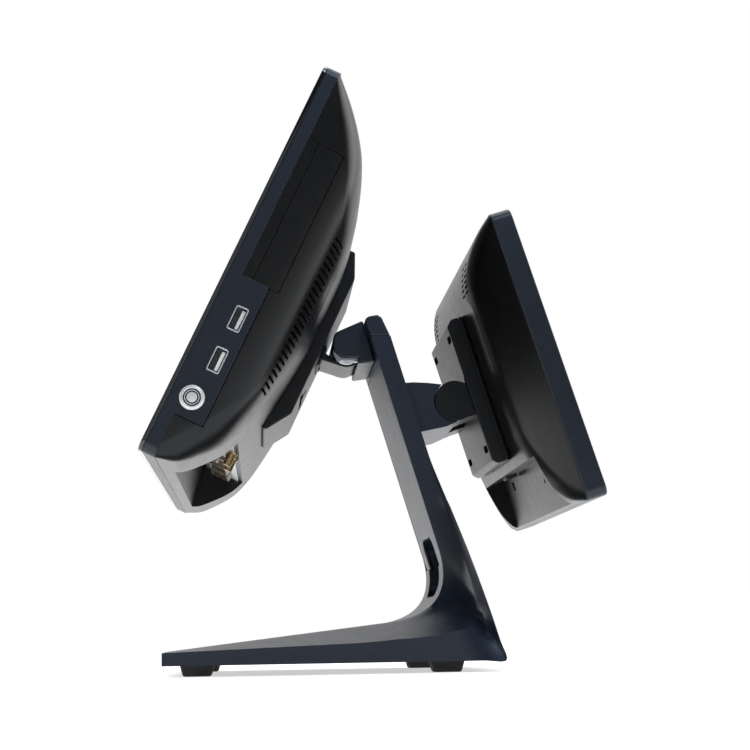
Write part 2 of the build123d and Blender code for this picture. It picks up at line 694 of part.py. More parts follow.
with BuildPart() as power_button_nut:
    with BuildSketch(main.side(PAD_TOP_X - PAD_WALL - 2.6)):
        with Locations(BUTTON_PLACE):
            RegularPolygon(7.0, 6, major_radius=False)
            Circle(BUSH_R + 0.02, mode=Mode.SUBTRACT)
    extrude(amount=2.5)
finish(power_button_nut, "power_button_nut")

# ---------------------------------------------------------------- cashier display: mounting and knuckle
VESA_UP = (TRAY_LOW + TRAY_HIGH) / 2
SCREW_R, HEAD_R = 1.95, 3.6
TRAY_CHAMFER = 15.8
KNUCKLE_UP, KNUCKLE_HOLES = 121.0, (26.0, 8.0)
with BuildPart() as bracket_tray:
    with BuildSketch(main.side()):
        Polygon(
            (TRAY_FRONT, TRAY_LOW),
            (TRAY_FRONT + 2.7, TRAY_LOW),
            (TRAY_BACK, TRAY_LOW + TRAY_CHAMFER),
            (TRAY_BACK, TRAY_HIGH - TRAY_CHAMFER),
            (TRAY_FRONT + 6, TRAY_HIGH),
            (TRAY_FRONT, TRAY_HIGH),
            align=None,
        )
    extrude(amount=TRAY_HALF, both=True)
    chamfer(bracket_tray.faces().filter_by(Axis.X).edges(), length=0.8)
    # hollow behind the outer wall, with clearance for the mounting plate
    with BuildSketch(main.face(TRAY_FRONT - 1, VESA_UP)):
        Rectangle(2 * TRAY_HALF - 5, 98)
    extrude(amount=TRAY_BACK - TRAY_FRONT - 1.5, mode=Mode.SUBTRACT)
    # cable slot low on the back
    with BuildSketch(main.face(TRAY_FRONT, 89.5)):
        SlotOverall(60, 5)
        with Locations((0, 5)):
            Rectangle(12, 8)
    extrude(amount=20, mode=Mode.SUBTRACT)
    # passage for the knuckle's screws
    with BuildSketch(main.face(TRAY_FRONT, KNUCKLE_UP)):
        with GridLocations(*KNUCKLE_HOLES, 2, 2):
            Circle(2.1)
    extrude(amount=20, mode=Mode.SUBTRACT)
finish(bracket_tray, "bracket_tray")

PLATE_T = 2.5
with BuildPart() as vesa_plate:
    with BuildSketch(main.face(TRAY_FRONT + 0.05, VESA_UP)):
        RectangleRounded(92, 94, 4)
        with GridLocations(VESA, VESA, 2, 2):
            Circle(2.2, mode=Mode.SUBTRACT)
    extrude(amount=PLATE_T)
    with BuildSketch(main.face(TRAY_FRONT + PLATE_T, KNUCKLE_UP)):
        Rectangle(44, 20)
    extrude(amount=TRAY_BACK - 2.6 - TRAY_FRONT - PLATE_T)
    with BuildSketch(main.face(TRAY_FRONT, KNUCKLE_UP)):
        with GridLocations(*KNUCKLE_HOLES, 2, 2):
            Circle(SCREW_R)
    extrude(amount=20, mode=Mode.SUBTRACT)
finish(vesa_plate, "vesa_plate")

with BuildPart() as vesa_screws:
    with BuildSketch(main.face(TRAY_FRONT + 0.1 + PLATE_T, VESA_UP)):
        with GridLocations(VESA, VESA, 2, 2):
            Circle(HEAD_R)
    extrude(amount=2.2)
    with BuildSketch(main.face(TRAY_FRONT + 0.1, VESA_UP)):
        with GridLocations(VESA, VESA, 2, 2):
            Circle(2.0)
    extrude(amount=PLATE_T + 0.1)
finish(vesa_screws, "vesa_screws")

# The knuckle: a barrel on the shaft, a thin arm under it and a foot on the tray.
TANGENT = (10.0, 197.2)
ARM_T = 4.5
with BuildPart() as tilt_knuckle:
    with BuildSketch(across()):
        with Locations(TILT_AXIS):
            Circle(BARREL_R)
    extrude(amount=BARREL_HALF, both=True)
    arm_low = main.point(TRAY_BACK, 116.6)
    arm_high = main.point(TRAY_BACK, 116.6 + ARM_T + 1.5)
    with BuildSketch(across()):
        Polygon(
            (arm_low.Y, arm_low.Z),
            TANGENT,
            (TANGENT[0] + 1.6, TANGENT[1] + ARM_T),
            (arm_high.Y, arm_high.Z),
            align=None,
        )
    extrude(amount=BARREL_HALF, both=True)
    with BuildSketch(main.face(TRAY_BACK, KNUCKLE_UP)):
        Rectangle(40, 17)
    extrude(amount=2.2)
    with BuildSketch(across()):
        with Locations(TILT_AXIS):
            Circle(SHAFT_R + SHAFT_CLEARANCE)
    extrude(amount=BARREL_HALF + 1, both=True, mode=Mode.SUBTRACT)
    with BuildSketch(main.face(TRAY_BACK - 1, KNUCKLE_UP)):
        with GridLocations(*KNUCKLE_HOLES, 2, 2):
            Circle(SCREW_R)
    extrude(amount=4, mode=Mode.SUBTRACT)
finish(tilt_knuckle, "tilt_knuckle")

with BuildPart() as knuckle_screws:
    with BuildSketch(main.face(TRAY_FRONT + 1, KNUCKLE_UP)):
        with GridLocations(*KNUCKLE_HOLES, 2, 2):
            Circle(SCREW_R - 0.05)
    extrude(amount=TRAY_BACK + 2.0 - TRAY_FRONT - 1)
finish(knuckle_screws, "knuckle_screws")

# ---------------------------------------------------------------- customer display
CUST_GLASS_T = 2.0
CUST_LCD_W, CUST_LCD_H, CUST_LCD_T = 229.5, 149.0, 4.5
with BuildPart() as customer_glass:
    with BuildSketch(cust.face(0.6, CUST_H / 2)):
        RectangleRounded(CUST_W - 5, CUST_H - 5, 3)
    extrude(amount=CUST_GLASS_T)
finish(customer_glass, "customer_glass")

with BuildPart() as customer_bezel:
    with BuildSketch(cust.face(0, CUST_H / 2)):
        RectangleRounded(CUST_W, CUST_H, 6)
    extrude(amount=CUST_BEZEL_T)
    with BuildSketch(cust.face(0, CUST_H / 2)):
        RectangleRounded(CUST_W - 4.6, CUST_H - 4.6, 3.2)
    extrude(amount=0.6 + CUST_GLASS_T, mode=Mode.SUBTRACT)
    with BuildSketch(cust.face(0, CUST_H / 2)):
        Rectangle(CUST_LCD_W + 1, CUST_LCD_H + 1)
    extrude(amount=CUST_BEZEL_T, mode=Mode.SUBTRACT)
finish(customer_bezel, "customer_bezel")

with BuildPart() as customer_lcd:
    with BuildSketch(cust.face(0.6 + CUST_GLASS_T, CUST_H / 2)):
        Rectangle(CUST_LCD_W, CUST_LCD_H)
    extrude(amount=CUST_LCD_T)
finish(customer_lcd, "customer_lcd")

# Each station is a depth, half a width, a lower edge, an upper edge and a corner radius.
CUST_HOUSING = (
    (CUST_BEZEL_T, 129.6, 0.4, 180.6, 6),
    (18.0, 123.0, 3.0, 177.0, 10),
    (23.0, 115.0, 11.0, 171.5, 14),
    (28.0, 106.0, 26.0, 163.0, 16),
    (31.5, 97.0, 40.0, 153.0, 16),
    (CUST_HOUSING_D, 88.0, 50.0, 144.0, 16),
)
CUST_BAY_HALF, CUST_BAY_TOP, CUST_BAY_FRONT = 100.0, 36.0, 16.5
CUST_AXIS_D = 55.0  # depth of the arm's hinge behind the customer display's glass
CUST_PORT_X, CUST_PORT_D = -30.0, 22.5
CUST_UP, CUST_HOLES = 90.9, (50.0, 10.0)  # knuckle screws of the customer display
COVER_FRONT, COVER_BACK = CUST_HOUSING_D + 0.1, 44.4
COVER_W, COVER_H = 94.0, 98.0
SLOT_LONG, SLOT_HIGH = 14.0, 4.8  # mounting slots of the bracket

with BuildPart() as customer_cavity:
    for depth, half, low, high, corner in CUST_HOUSING:
        with BuildSketch(cust.face(depth - SKIN_BACK, (low + high) / 2)):
            RectangleRounded(2 * (half - SKIN_SIDE), high - low - 2 * SKIN_SIDE, corner - 1)
    loft()
    with BuildSketch(cust.side()):
        Polygon((5, -5), (5, CUST_BAY_TOP + 2), (60, CUST_BAY_TOP + 2), (60, -5), align=None)
    extrude(amount=CUST_BAY_HALF + 2, both=True, mode=Mode.SUBTRACT)

with BuildPart() as customer_housing:
    for depth, half, low, high, corner in CUST_HOUSING:
        with BuildSketch(cust.face(depth, (low + high) / 2)):
            RectangleRounded(2 * half, high - low, corner)
    loft()
    add(customer_cavity.part, mode=Mode.SUBTRACT)
    with BuildSketch(cust.side()):
        Polygon((CUST_BAY_FRONT, -5), (CUST_BAY_FRONT, CUST_BAY_TOP), (70, CUST_BAY_TOP), (70, -5), align=None)
    extrude(amount=CUST_BAY_HALF, both=True, mode=Mode.SUBTRACT)
    # vent slots in the sloping top, and the hole for the cable's connector in the bay
    with BuildSketch(cust.face(18.0)):
        for x in (-84, -72, 72, 84):
            with Locations(*[(x, 147 + 3.4 * i) for i in range(6)]):
                SlotOverall(9, 1.6)
    extrude(amount=16, mode=Mode.SUBTRACT)
    with BuildSketch(cust.level(CUST_BAY_TOP - 1)):
        with Locations((CUST_PORT_X, -CUST_PORT_D)):
            Rectangle(12.4, 8.4)
    extrude(amount=6, mode=Mode.SUBTRACT)
finish(customer_housing, "customer_housing")

with BuildPart() as customer_driver_board:
    with BuildSketch(cust.face(15.0, 95)):
        Rectangle(120, 70)
    extrude(amount=1.6)
    with BuildSketch(cust.face(16.6, 95)):
        with GridLocations(50, 30, 2, 2):
            Rectangle(18, 14)
    extrude(amount=2)
finish(customer_driver_board, "customer_driver_board")

with BuildPart() as customer_port:
    with BuildSketch(cust.level(CUST_BAY_TOP - 2)):
        with Locations((CUST_PORT_X, -CUST_PORT_D)):
            Rectangle(12, 8)
    extrude(amount=14)
    with BuildSketch(cust.level(CUST_BAY_TOP - 2)):
        with Locations((CUST_PORT_X, -CUST_PORT_D)):
            Rectangle(9, 5)
    extrude(amount=8, mode=Mode.SUBTRACT)
finish(customer_port, "customer_port")

with BuildPart() as customer_bracket_cover:
    with BuildSketch(cust.side()):
        Polygon(
            (COVER_FRONT, CUST_UP - COVER_H / 2),
            (COVER_BACK - 3, CUST_UP - COVER_H / 2),
            (COVER_BACK, CUST_UP - COVER_H / 2 + 3),
            (COVER_BACK, CUST_UP + COVER_H / 2 - 4),
            (COVER_BACK - 4, CUST_UP + COVER_H / 2),
            (COVER_FRONT, CUST_UP + COVER_H / 2),
            align=None,
        )
    extrude(amount=COVER_W / 2, both=True)
    # parting groove around the sides
    with BuildSketch(cust.face(COVER_FRONT + 2.2, CUST_UP)):
        Rectangle(COVER_W + 4, COVER_H + 4)
        Rectangle(COVER_W - 1.2, COVER_H - 1.2, mode=Mode.SUBTRACT)
    extrude(amount=0.9, mode=Mode.SUBTRACT)
    # hollow for the steel plate
    with BuildSketch(cust.face(COVER_FRONT - 1, CUST_UP)):
        Rectangle(COVER_W - 5, COVER_H - 8)
    extrude(amount=COVER_BACK - COVER_FRONT - 1, mode=Mode.SUBTRACT)
    with BuildSketch(cust.face(COVER_FRONT, CUST_UP)):
        with GridLocations(VESA, VESA, 2, 2):
            SlotOverall(SLOT_LONG, SLOT_HIGH)
        with GridLocations(*CUST_HOLES, 2, 2):
            Circle(2.1)
    extrude(amount=20, mode=Mode.SUBTRACT)
finish(customer_bracket_cover, "customer_bracket_cover")

CUST_PLATE_T = 2.0
with BuildPart() as customer_vesa_plate:
    with BuildSketch(cust.face(COVER_FRONT + 0.1, CUST_UP)):
        Rectangle(86, 88)
        with GridLocations(VESA, VESA, 2, 2):
            SlotOverall(SLOT_LONG, SLOT_HIGH, mode=Mode.SUBTRACT)
    extrude(amount=CUST_PLATE_T)
    with BuildSketch(cust.face(COVER_FRONT + CUST_PLATE_T, CUST_UP)):
        Rectangle(62, 22)
    extrude(amount=COVER_BACK - 2.1 - COVER_FRONT - CUST_PLATE_T)
    with BuildSketch(cust.face(COVER_FRONT, CUST_UP)):
        with GridLocations(*CUST_HOLES, 2, 2):
            Circle(SCREW_R)
    extrude(amount=20, mode=Mode.SUBTRACT)
finish(customer_vesa_plate, "customer_vesa_plate")

with BuildPart() as customer_vesa_screws:
    with BuildSketch(cust.face(COVER_FRONT + 0.15 + CUST_PLATE_T, CUST_UP)):
        with GridLocations(VESA, VESA, 2, 2):
            Circle(HEAD_R)
    extrude(amount=2)
    with BuildSketch(cust.face(COVER_FRONT + 0.05, CUST_UP)):
        with GridLocations(VESA, VESA, 2, 2):
            Circle(2.0)
    extrude(amount=CUST_PLATE_T + 0.2)
finish(customer_vesa_screws, "customer_vesa_screws")

with BuildPart() as customer_knuckle:
    with BuildSketch(across()):
        with Locations(ARM_AXIS):
            Circle(ARM_R)
    extrude(amount=ARM_HALF, both=True)
    with BuildSketch(cust.side()):
        Polygon((COVER_BACK, 76.2), (COVER_BACK, 102.0), (CUST_AXIS_D, 101.9), (CUST_AXIS_D, 76.2), align=None)
    extrude(amount=ARM_HALF, both=True)
    # flat where it meets the bracket, and a gap for the arm's lug
    with BuildSketch(cust.side()):
        Polygon((20, 60), (COVER_BACK, 60), (COVER_BACK, 120), (20, 120), align=None)
    extrude(amount=ARM_HALF + 1, both=True, mode=Mode.SUBTRACT)
    with BuildSketch(across()):
        with Locations(ARM_AXIS):
            Circle(ARM_R + 3)
    extrude(amount=ARM_LUG_HALF + 0.4, both=True, mode=Mode.SUBTRACT)
    with BuildSketch(across()):
        with Locations(ARM_AXIS):
            Circle(PIN_R + SHAFT_CLEARANCE)
    extrude(amount=ARM_LUG_HALF + 14.5, both=True, mode=Mode.SUBTRACT)
    with BuildSketch(cust.face(COVER_BACK - 1, CUST_UP)):
        with GridLocations(*CUST_HOLES, 2, 2):
            Circle(SCREW_R)
    extrude(amount=3.5, mode=Mode.SUBTRACT)
finish(customer_knuckle, "customer_knuckle")

with BuildPart() as customer_knuckle_screws:
    with BuildSketch(cust.face(COVER_FRONT + 0.5, CUST_UP)):
        with GridLocations(*CUST_HOLES, 2, 2):
            Circle(SCREW_R - 0.05)
    extrude(amount=COVER_BACK + 2.0 - COVER_FRONT - 0.5)
finish(customer_knuckle_screws, "customer_knuckle_screws")
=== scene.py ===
import bmesh
import bpy
import json
from math import cos, pi, radians, sin, tan
from mathutils import Matrix, Vector


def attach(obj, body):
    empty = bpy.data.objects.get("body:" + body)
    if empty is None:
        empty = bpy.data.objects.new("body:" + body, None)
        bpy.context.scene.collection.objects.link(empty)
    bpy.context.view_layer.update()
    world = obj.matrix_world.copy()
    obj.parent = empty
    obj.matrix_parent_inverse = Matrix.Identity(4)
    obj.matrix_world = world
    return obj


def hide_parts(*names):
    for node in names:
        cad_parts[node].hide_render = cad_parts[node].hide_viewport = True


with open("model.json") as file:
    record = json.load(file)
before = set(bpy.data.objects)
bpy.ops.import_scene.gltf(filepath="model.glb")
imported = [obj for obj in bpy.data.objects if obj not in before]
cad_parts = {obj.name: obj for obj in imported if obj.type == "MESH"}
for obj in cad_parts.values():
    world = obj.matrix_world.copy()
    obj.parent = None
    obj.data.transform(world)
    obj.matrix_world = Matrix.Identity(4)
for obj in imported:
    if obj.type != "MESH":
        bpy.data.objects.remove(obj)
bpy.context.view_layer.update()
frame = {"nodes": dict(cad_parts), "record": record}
nodes = frame["nodes"]
scene = bpy.context.scene
MM = 0.001

# ---------------------------------------------------------------- the two displays' own frames
class Display:
    """Depth runs back from the glass and up runs from its lower edge, in millimetres."""

    def __init__(self, y, z, tilt, facing):
        self.origin = Vector((0, y, z))
        self.up = Vector((0, -facing * sin(radians(tilt)), cos(radians(tilt))))
        self.deep = Vector((0, -facing * cos(radians(tilt)), -sin(radians(tilt))))

    def at(self, x, up, depth):
        return self.origin + self.up * up + self.deep * depth + Vector((x, 0, 0))


main = Display(-109.5, 122.9, 25.4, -1)
cust = Display(160.1, 101.5, 17.1, 1)
MAIN_W, MAIN_H, GLASS_T, BEZEL_T = 375.2, 242.5, 2.5, 10.1
CUST_W, CUST_H, CUST_BEZEL_T = 260.0, 181.3, 13.2
TILT_AXIS = (13.5, 206.5)
ARM_AXIS = (81.8, 170.3)
BASE_BOTTOM = 6.4


# ---------------------------------------------------------------- mesh helpers
def loft(rings):
    """A closed skin through rings of equal length, given in millimetres."""
    bm = bmesh.new()
    rows = [[bm.verts.new(point) for point in ring] for ring in rings]
    count = len(rows[0])
    for a, b in zip(rows, rows[1:]):
        for i in range(count):
            j = (i + 1) % count
            bm.faces.new((a[i], a[j], b[j], b[i]))
    bm.faces.new(rows[0])
    bm.faces.new(list(reversed(rows[-1])))
    bmesh.ops.recalc_face_normals(bm, faces=bm.faces[:])
    return bm


def circle(centre, radius, steps):
    """Points round a circle, from its right-hand side."""
    turns = [2 * pi * i / steps for i in range(steps)]
    return [(centre[0] + radius * cos(turn), centre[1] + radius * sin(turn)) for turn in turns]


def arc(centre, radius, degrees):
    """Points on a circle at the given angles."""
    return [(centre[0] + radius * cos(radians(a)), centre[1] + radius * sin(radians(a))) for a in degrees]


def rectangle(depth0, depth1, up0, up1):
    return [(depth0, up0), (depth0, up1), (depth1, up1), (depth1, up0)]


def prism(outline, x0, x1):
    """An outline of (y, z) points run from x0 to x1."""
    return loft([[Vector((x, y, z)) for y, z in outline] for x in (x0, x1)])


def display_prism(display, outline, x0, x1):
    """An outline of (depth, up) points run from x0 to x1."""
    return loft([[display.at(x, up, depth) for depth, up in outline] for x in (x0, x1)])


def round_box(display, x, up, width, height, corner, depth0, depth1, steps=6):
    """A block with rounded corners, parallel to the glass."""
    size = (width / 2, height / 2, corner)
    return loft([round_ring(display, x, up, *size, depth, steps) for depth in (depth0, depth1)])


def round_ring(display, x, up, half_w, half_h, corner, depth, steps=10):
    points = []
    for quarter in range(4):
        cx = (half_w - corner) * (1 if quarter in (0, 3) else -1)
        cy = (half_h - corner) * (1 if quarter in (0, 1) else -1)
        for i in range(steps + 1):
            angle = pi / 2 * (quarter + i / steps)
            points.append(display.at(x + cx + corner * cos(angle), up + cy + corner * sin(angle), depth))
    return points


def lathe(profile, y, z, steps=64):
    """A turned part about a line along X. The profile is (x, radius) points."""
    bm = bmesh.new()
    rows = []
    for x, radius in profile:
        row = []
        for i in range(steps):
            angle = 2 * pi * i / steps
            row.append(bm.verts.new((x, y + radius * cos(angle), z + radius * sin(angle))))
        rows.append(row)
    for a, b in zip(rows, rows[1:]):
        for i in range(steps):
            j = (i + 1) % steps
            bm.faces.new((a[i], a[j], b[j], b[i]))
    bm.faces.new(rows[0])
    bm.faces.new(list(reversed(rows[-1])))
    bmesh.ops.recalc_face_normals(bm, faces=bm.faces[:])
    return bm


def join(*parts):
    """Several meshes as one."""
    whole = bmesh.new()
    for part in parts:
        mesh = bpy.data.meshes.new("part")
        part.to_mesh(mesh)
        part.free()
        whole.from_mesh(mesh)
        bpy.data.meshes.remove(mesh)
    return whole


def thing(name, bm):
    mesh = bpy.data.meshes.new(name)
    bm.to_mesh(mesh)
    bm.free()
    mesh.transform(Matrix.Scale(MM, 4))
    obj = bpy.data.objects.new(name, mesh)
    scene.collection.objects.link(obj)
    return obj


def round_edges(obj, width, segments=3, angle=28):
    bevel = obj.modifiers.new("edges", "BEVEL")
    bevel.width = width * MM
    bevel.segments = segments
    bevel.limit_method = "ANGLE"
    bevel.angle_limit = radians(angle)
    bevel.use_clamp_overlap = True


def apply(obj):
    bpy.context.view_layer.update()
    graph = bpy.context.evaluated_depsgraph_get()
    mesh = bpy.data.meshes.new_from_object(obj.evaluated_get(graph))
    old = obj.data
    obj.modifiers.clear()
    obj.data = mesh
    mesh.name = obj.name
    bpy.data.meshes.remove(old)


def carve(obj, tool, operation="DIFFERENCE"):
    """Combines obj with another object, which is used up."""
    change = obj.modifiers.new("cut", "BOOLEAN")
    change.operation = operation
    change.solver = "EXACT"
    change.object = tool
    apply(obj)
    bpy.data.objects.remove(tool)


def cut(obj, *cutters, operation="DIFFERENCE"):
    """Cuts the joined cutters out of obj."""
    carve(obj, thing("cutter", join(*cutters)), operation)


def shade(obj, limit=33):
    """Smooth shading that stays crisp at edges sharper than the limit."""
    bm = bmesh.new()
    bm.from_mesh(obj.data)
    bmesh.ops.remove_doubles(bm, verts=bm.verts[:], dist=0.000004)
    for face in bm.faces:
        face.smooth = True
    for edge in bm.edges:
        edge.smooth = len(edge.link_faces) == 2 and edge.calc_face_angle(0) < radians(limit)
    bm.to_mesh(obj.data)
    bm.free()
    weights = obj.modifiers.new("normals", "WEIGHTED_NORMAL")
    weights.keep_sharp = True
    apply(obj)


def soften(obj, width, segments=3, angle=28):
    """Rounds the edges of a finished shape and shades it."""
    round_edges(obj, width, segments, angle)
    apply(obj)
    shade(obj)


def place(obj, body, slot, *replaced):
    """Gives a finished piece its material and body, and hides the solids it stands for."""
    obj.data.materials.clear()
    obj.data.materials.append(LOOKS[slot])
    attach(obj, body)
    if replaced:
        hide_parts(*replaced)
    return obj


def steady(stations, depth):
    """Values between stations on a smooth curve that doesn't overshoot."""
    xs = [s[0] for s in stations]
    k = 0
    while k < len(xs) - 2 and depth > xs[k + 1]:
        k += 1
    span = xs[k + 1] - xs[k]
    t = min(1.0, max(0.0, (depth - xs[k]) / span))
    values = []
    for column in range(1, len(stations[0])):
        ys = [s[column] for s in stations]
        slopes = [(ys[i + 1] - ys[i]) / (xs[i + 1] - xs[i]) for i in range(len(xs) - 1)]

        def tangent(i):
            if i == 0:
                return slopes[0]
            if i == len(xs) - 1:
                return slopes[-1]
            a, b = slopes[i - 1], slopes[i]
            return 0.0 if a * b <= 0 else 2 * a * b / (a + b)

        a, b = tangent(k) * span, tangent(k + 1) * span
        h = t * t * (3 - 2 * t)
        values.append(ys[k] * (1 - h) + ys[k + 1] * h + a * t * (1 - t) ** 2 - b * t * t * (1 - t))
    return values


# ---------------------------------------------------------------- material helpers
def start(name):
    mat = bpy.data.materials.new(name)
    mat.use_nodes = True
    tree = mat.node_tree
    return mat, tree, tree.nodes["Principled BSDF"]


def add(tree, kind, **settings):
    node = tree.nodes.new(kind)
    for key, value in settings.items():
        if key in node.inputs:
            node.inputs[key].default_value = value
        else:
            setattr(node, key, value)
    return node


def noise(tree, scale, detail=3.0, roughness=0.55, stretch=None):
    coords = add(tree, "ShaderNodeTexCoord")
    out = coords.outputs["Object"]
    if stretch:
        mapping = add(tree, "ShaderNodeMapping")
        mapping.inputs["Scale"].default_value = stretch
        tree.links.new(out, mapping.inputs["Vector"])
        out = mapping.outputs["Vector"]
    texture = add(tree, "ShaderNodeTexNoise")
    texture.inputs["Scale"].default_value = scale
    texture.inputs["Detail"].default_value = detail
    texture.inputs["Roughness"].default_value = roughness
    tree.links.new(out, texture.inputs["Vector"])
    return texture.outputs["Fac"]


def spread(tree, fac, low, high, to_low, to_high):
    """Maps the useful part of a texture onto a range."""
    node = add(tree, "ShaderNodeMapRange")
    for key, value in (("From Min", low), ("From Max", high), ("To Min", to_low), ("To Max", to_high)):
        node.inputs[key].default_value = value
    tree.links.new(fac, node.inputs["Value"])
    return node.outputs["Result"]


def blend(tree, fac, a, b):
    node = add(tree, "ShaderNodeMix", data_type="RGBA")
    for socket, colour in ((node.inputs[6], a), (node.inputs[7], b)):
        if isinstance(colour, bpy.types.NodeSocket):
            tree.links.new(colour, socket)
        else:
            socket.default_value = (*colour, 1)
    tree.links.new(fac, node.inputs[0])
    return node.outputs[2]


def relief(tree, shader, layers, round_off=0.0):
    """Bumps from (height, strength, distance in millimetres) layers, over softened edges."""
    normal = None
    if round_off:
        bevel = add(tree, "ShaderNodeBevel", samples=4)
        bevel.inputs["Radius"].default_value = round_off * MM
        normal = bevel.outputs["Normal"]
    for height, strength, distance in layers:
        bump = add(tree, "ShaderNodeBump")
        bump.inputs["Strength"].default_value = strength
        bump.inputs["Distance"].default_value = distance * MM
        tree.links.new(height, bump.inputs["Height"])
        if normal:
            tree.links.new(normal, bump.inputs["Normal"])
        normal = bump.outputs["Normal"]
    tree.links.new(normal, shader.inputs["Normal"])


def scaled(colour, share):
    return tuple(min(1.0, c * share) for c in colour)


def plastic(name, colour, rough, grain=0.35, grain_scale=1500, coat=0.0, round_off=0.0, specular=0.5):
    """Moulded plastic: fine eroded texture with a slow change of tone and gloss."""
    mat, tree, shader = start(name)
    grain_height = noise(tree, grain_scale, 2.0, 0.5)
    slow = noise(tree, 22, 3.0, 0.6)
    cloudy = noise(tree, 140, 4.0, 0.6)
    tone = blend(tree, spread(tree, slow, 0.35, 0.65, 0, 1), scaled(colour, 0.82), scaled(colour, 1.2))
    speck = blend(tree, spread(tree, grain_height, 0.42, 0.62, 0, 0.5), tone, scaled(colour, 1.5))
    tree.links.new(speck, shader.inputs["Base Color"])
    tree.links.new(spread(tree, cloudy, 0.3, 0.7, rough - 0.02, rough + 0.03), shader.inputs["Roughness"])
    shader.inputs["Specular IOR Level"].default_value = specular
    if coat:
        shader.inputs["Coat Weight"].default_value = coat
        shader.inputs["Coat Roughness"].default_value = 0.18
    relief(tree, shader, [(grain_height, grain, 0.010), (cloudy, 0.06, 0.008)], round_off)
    return mat


def metal(name, colour, rough, stretch, scale=260, round_off=0.35, tint=0.12, metallic=1.0):
    """Rolled, drawn or turned metal: brushed along one direction, with duller patches."""
    mat, tree, shader = start(name)
    brushed = noise(tree, scale, 5.0, 0.7, stretch)
    patches = noise(tree, 60, 4.0, 0.6)
    grain = spread(tree, brushed, 0.35, 0.65, 0, 1)
    tone = blend(tree, grain, scaled(colour, 1 - tint), scaled(colour, 1 + tint))
    tree.links.new(tone, shader.inputs["Base Color"])
    tree.links.new(spread(tree, patches, 0.3, 0.7, rough - 0.06, rough + 0.1), shader.inputs["Roughness"])
    shader.inputs["Metallic"].default_value = metallic
    relief(tree, shader, [(brushed, 0.25, 0.02), (patches, 0.1, 0.1)], round_off)
    return mat


def board(name):
    """Printed circuit board: copper runs under the mask, and pads."""
    mat, tree, shader = start(name)
    coords = add(tree, "ShaderNodeTexCoord")
    bricks = add(tree, "ShaderNodeTexBrick")
    bricks.inputs["Scale"].default_value = 90
    bricks.inputs["Mortar Size"].default_value = 0.03
    bricks.inputs["Mortar Smooth"].default_value = 0.2
    tree.links.new(coords.outputs["Object"], bricks.inputs["Vector"])
    cells = add(tree, "ShaderNodeTexVoronoi", distance="MANHATTAN")
    cells.inputs["Scale"].default_value = 160
    tree.links.new(coords.outputs["Object"], cells.inputs["Vector"])
    cloud = spread(tree, noise(tree, 30), 0.3, 0.7, 0, 1)
    base = blend(tree, cloud, (0.012, 0.06, 0.03), (0.02, 0.09, 0.045))
    runs = blend(tree, bricks.outputs["Fac"], base, (0.05, 0.2, 0.09))
    pads = spread(tree, cells.outputs["Distance"], 0.1, 0.07, 0, 1)
    final = blend(tree, pads, runs, (0.62, 0.55, 0.36))
    tree.links.new(final, shader.inputs["Base Color"])
    shader.inputs["Roughness"].default_value = 0.32
    relief(tree, shader, [(bricks.outputs["Fac"], 0.3, 0.04), (cells.outputs["Distance"], 0.2, 0.1)], 0.1)
    return mat


def glass(name, dark=(0.004, 0.004, 0.005), pale=(0.008, 0.009, 0.011), rough=0.05):
    """Black-backed cover glass with faint wiping marks."""
    mat, tree, shader = start(name)
    film = noise(tree, 30, 5.0, 0.65, (1.0, 0.3, 0.3))
    fine = noise(tree, 900, 2.0)
    tone = blend(tree, spread(tree, film, 0.4, 0.7, 0, 1), dark, pale)
    tree.links.new(tone, shader.inputs["Base Color"])
    tree.links.new(spread(tree, film, 0.4, 0.75, rough, rough + 0.11), shader.inputs["Roughness"])
    shader.inputs["Coat Weight"].default_value = 1.0
    shader.inputs["Coat Roughness"].default_value = 0.03
    relief(tree, shader, [(fine, 0.03, 0.01)], 0.3)
    return mat


def rubber(name):
    mat, tree, shader = start(name)
    grit = noise(tree, 700, 4.0, 0.7)
    dust = noise(tree, 40, 4.0)
    tone = blend(tree, spread(tree, dust, 0.4, 0.7, 0, 1), (0.010, 0.010, 0.010), (0.024, 0.023, 0.022))
    tree.links.new(tone, shader.inputs["Base Color"])
    tree.links.new(spread(tree, grit, 0.3, 0.7, 0.7, 0.9), shader.inputs["Roughness"])
    relief(tree, shader, [(grit, 0.5, 0.08)], 0.6)
    return mat


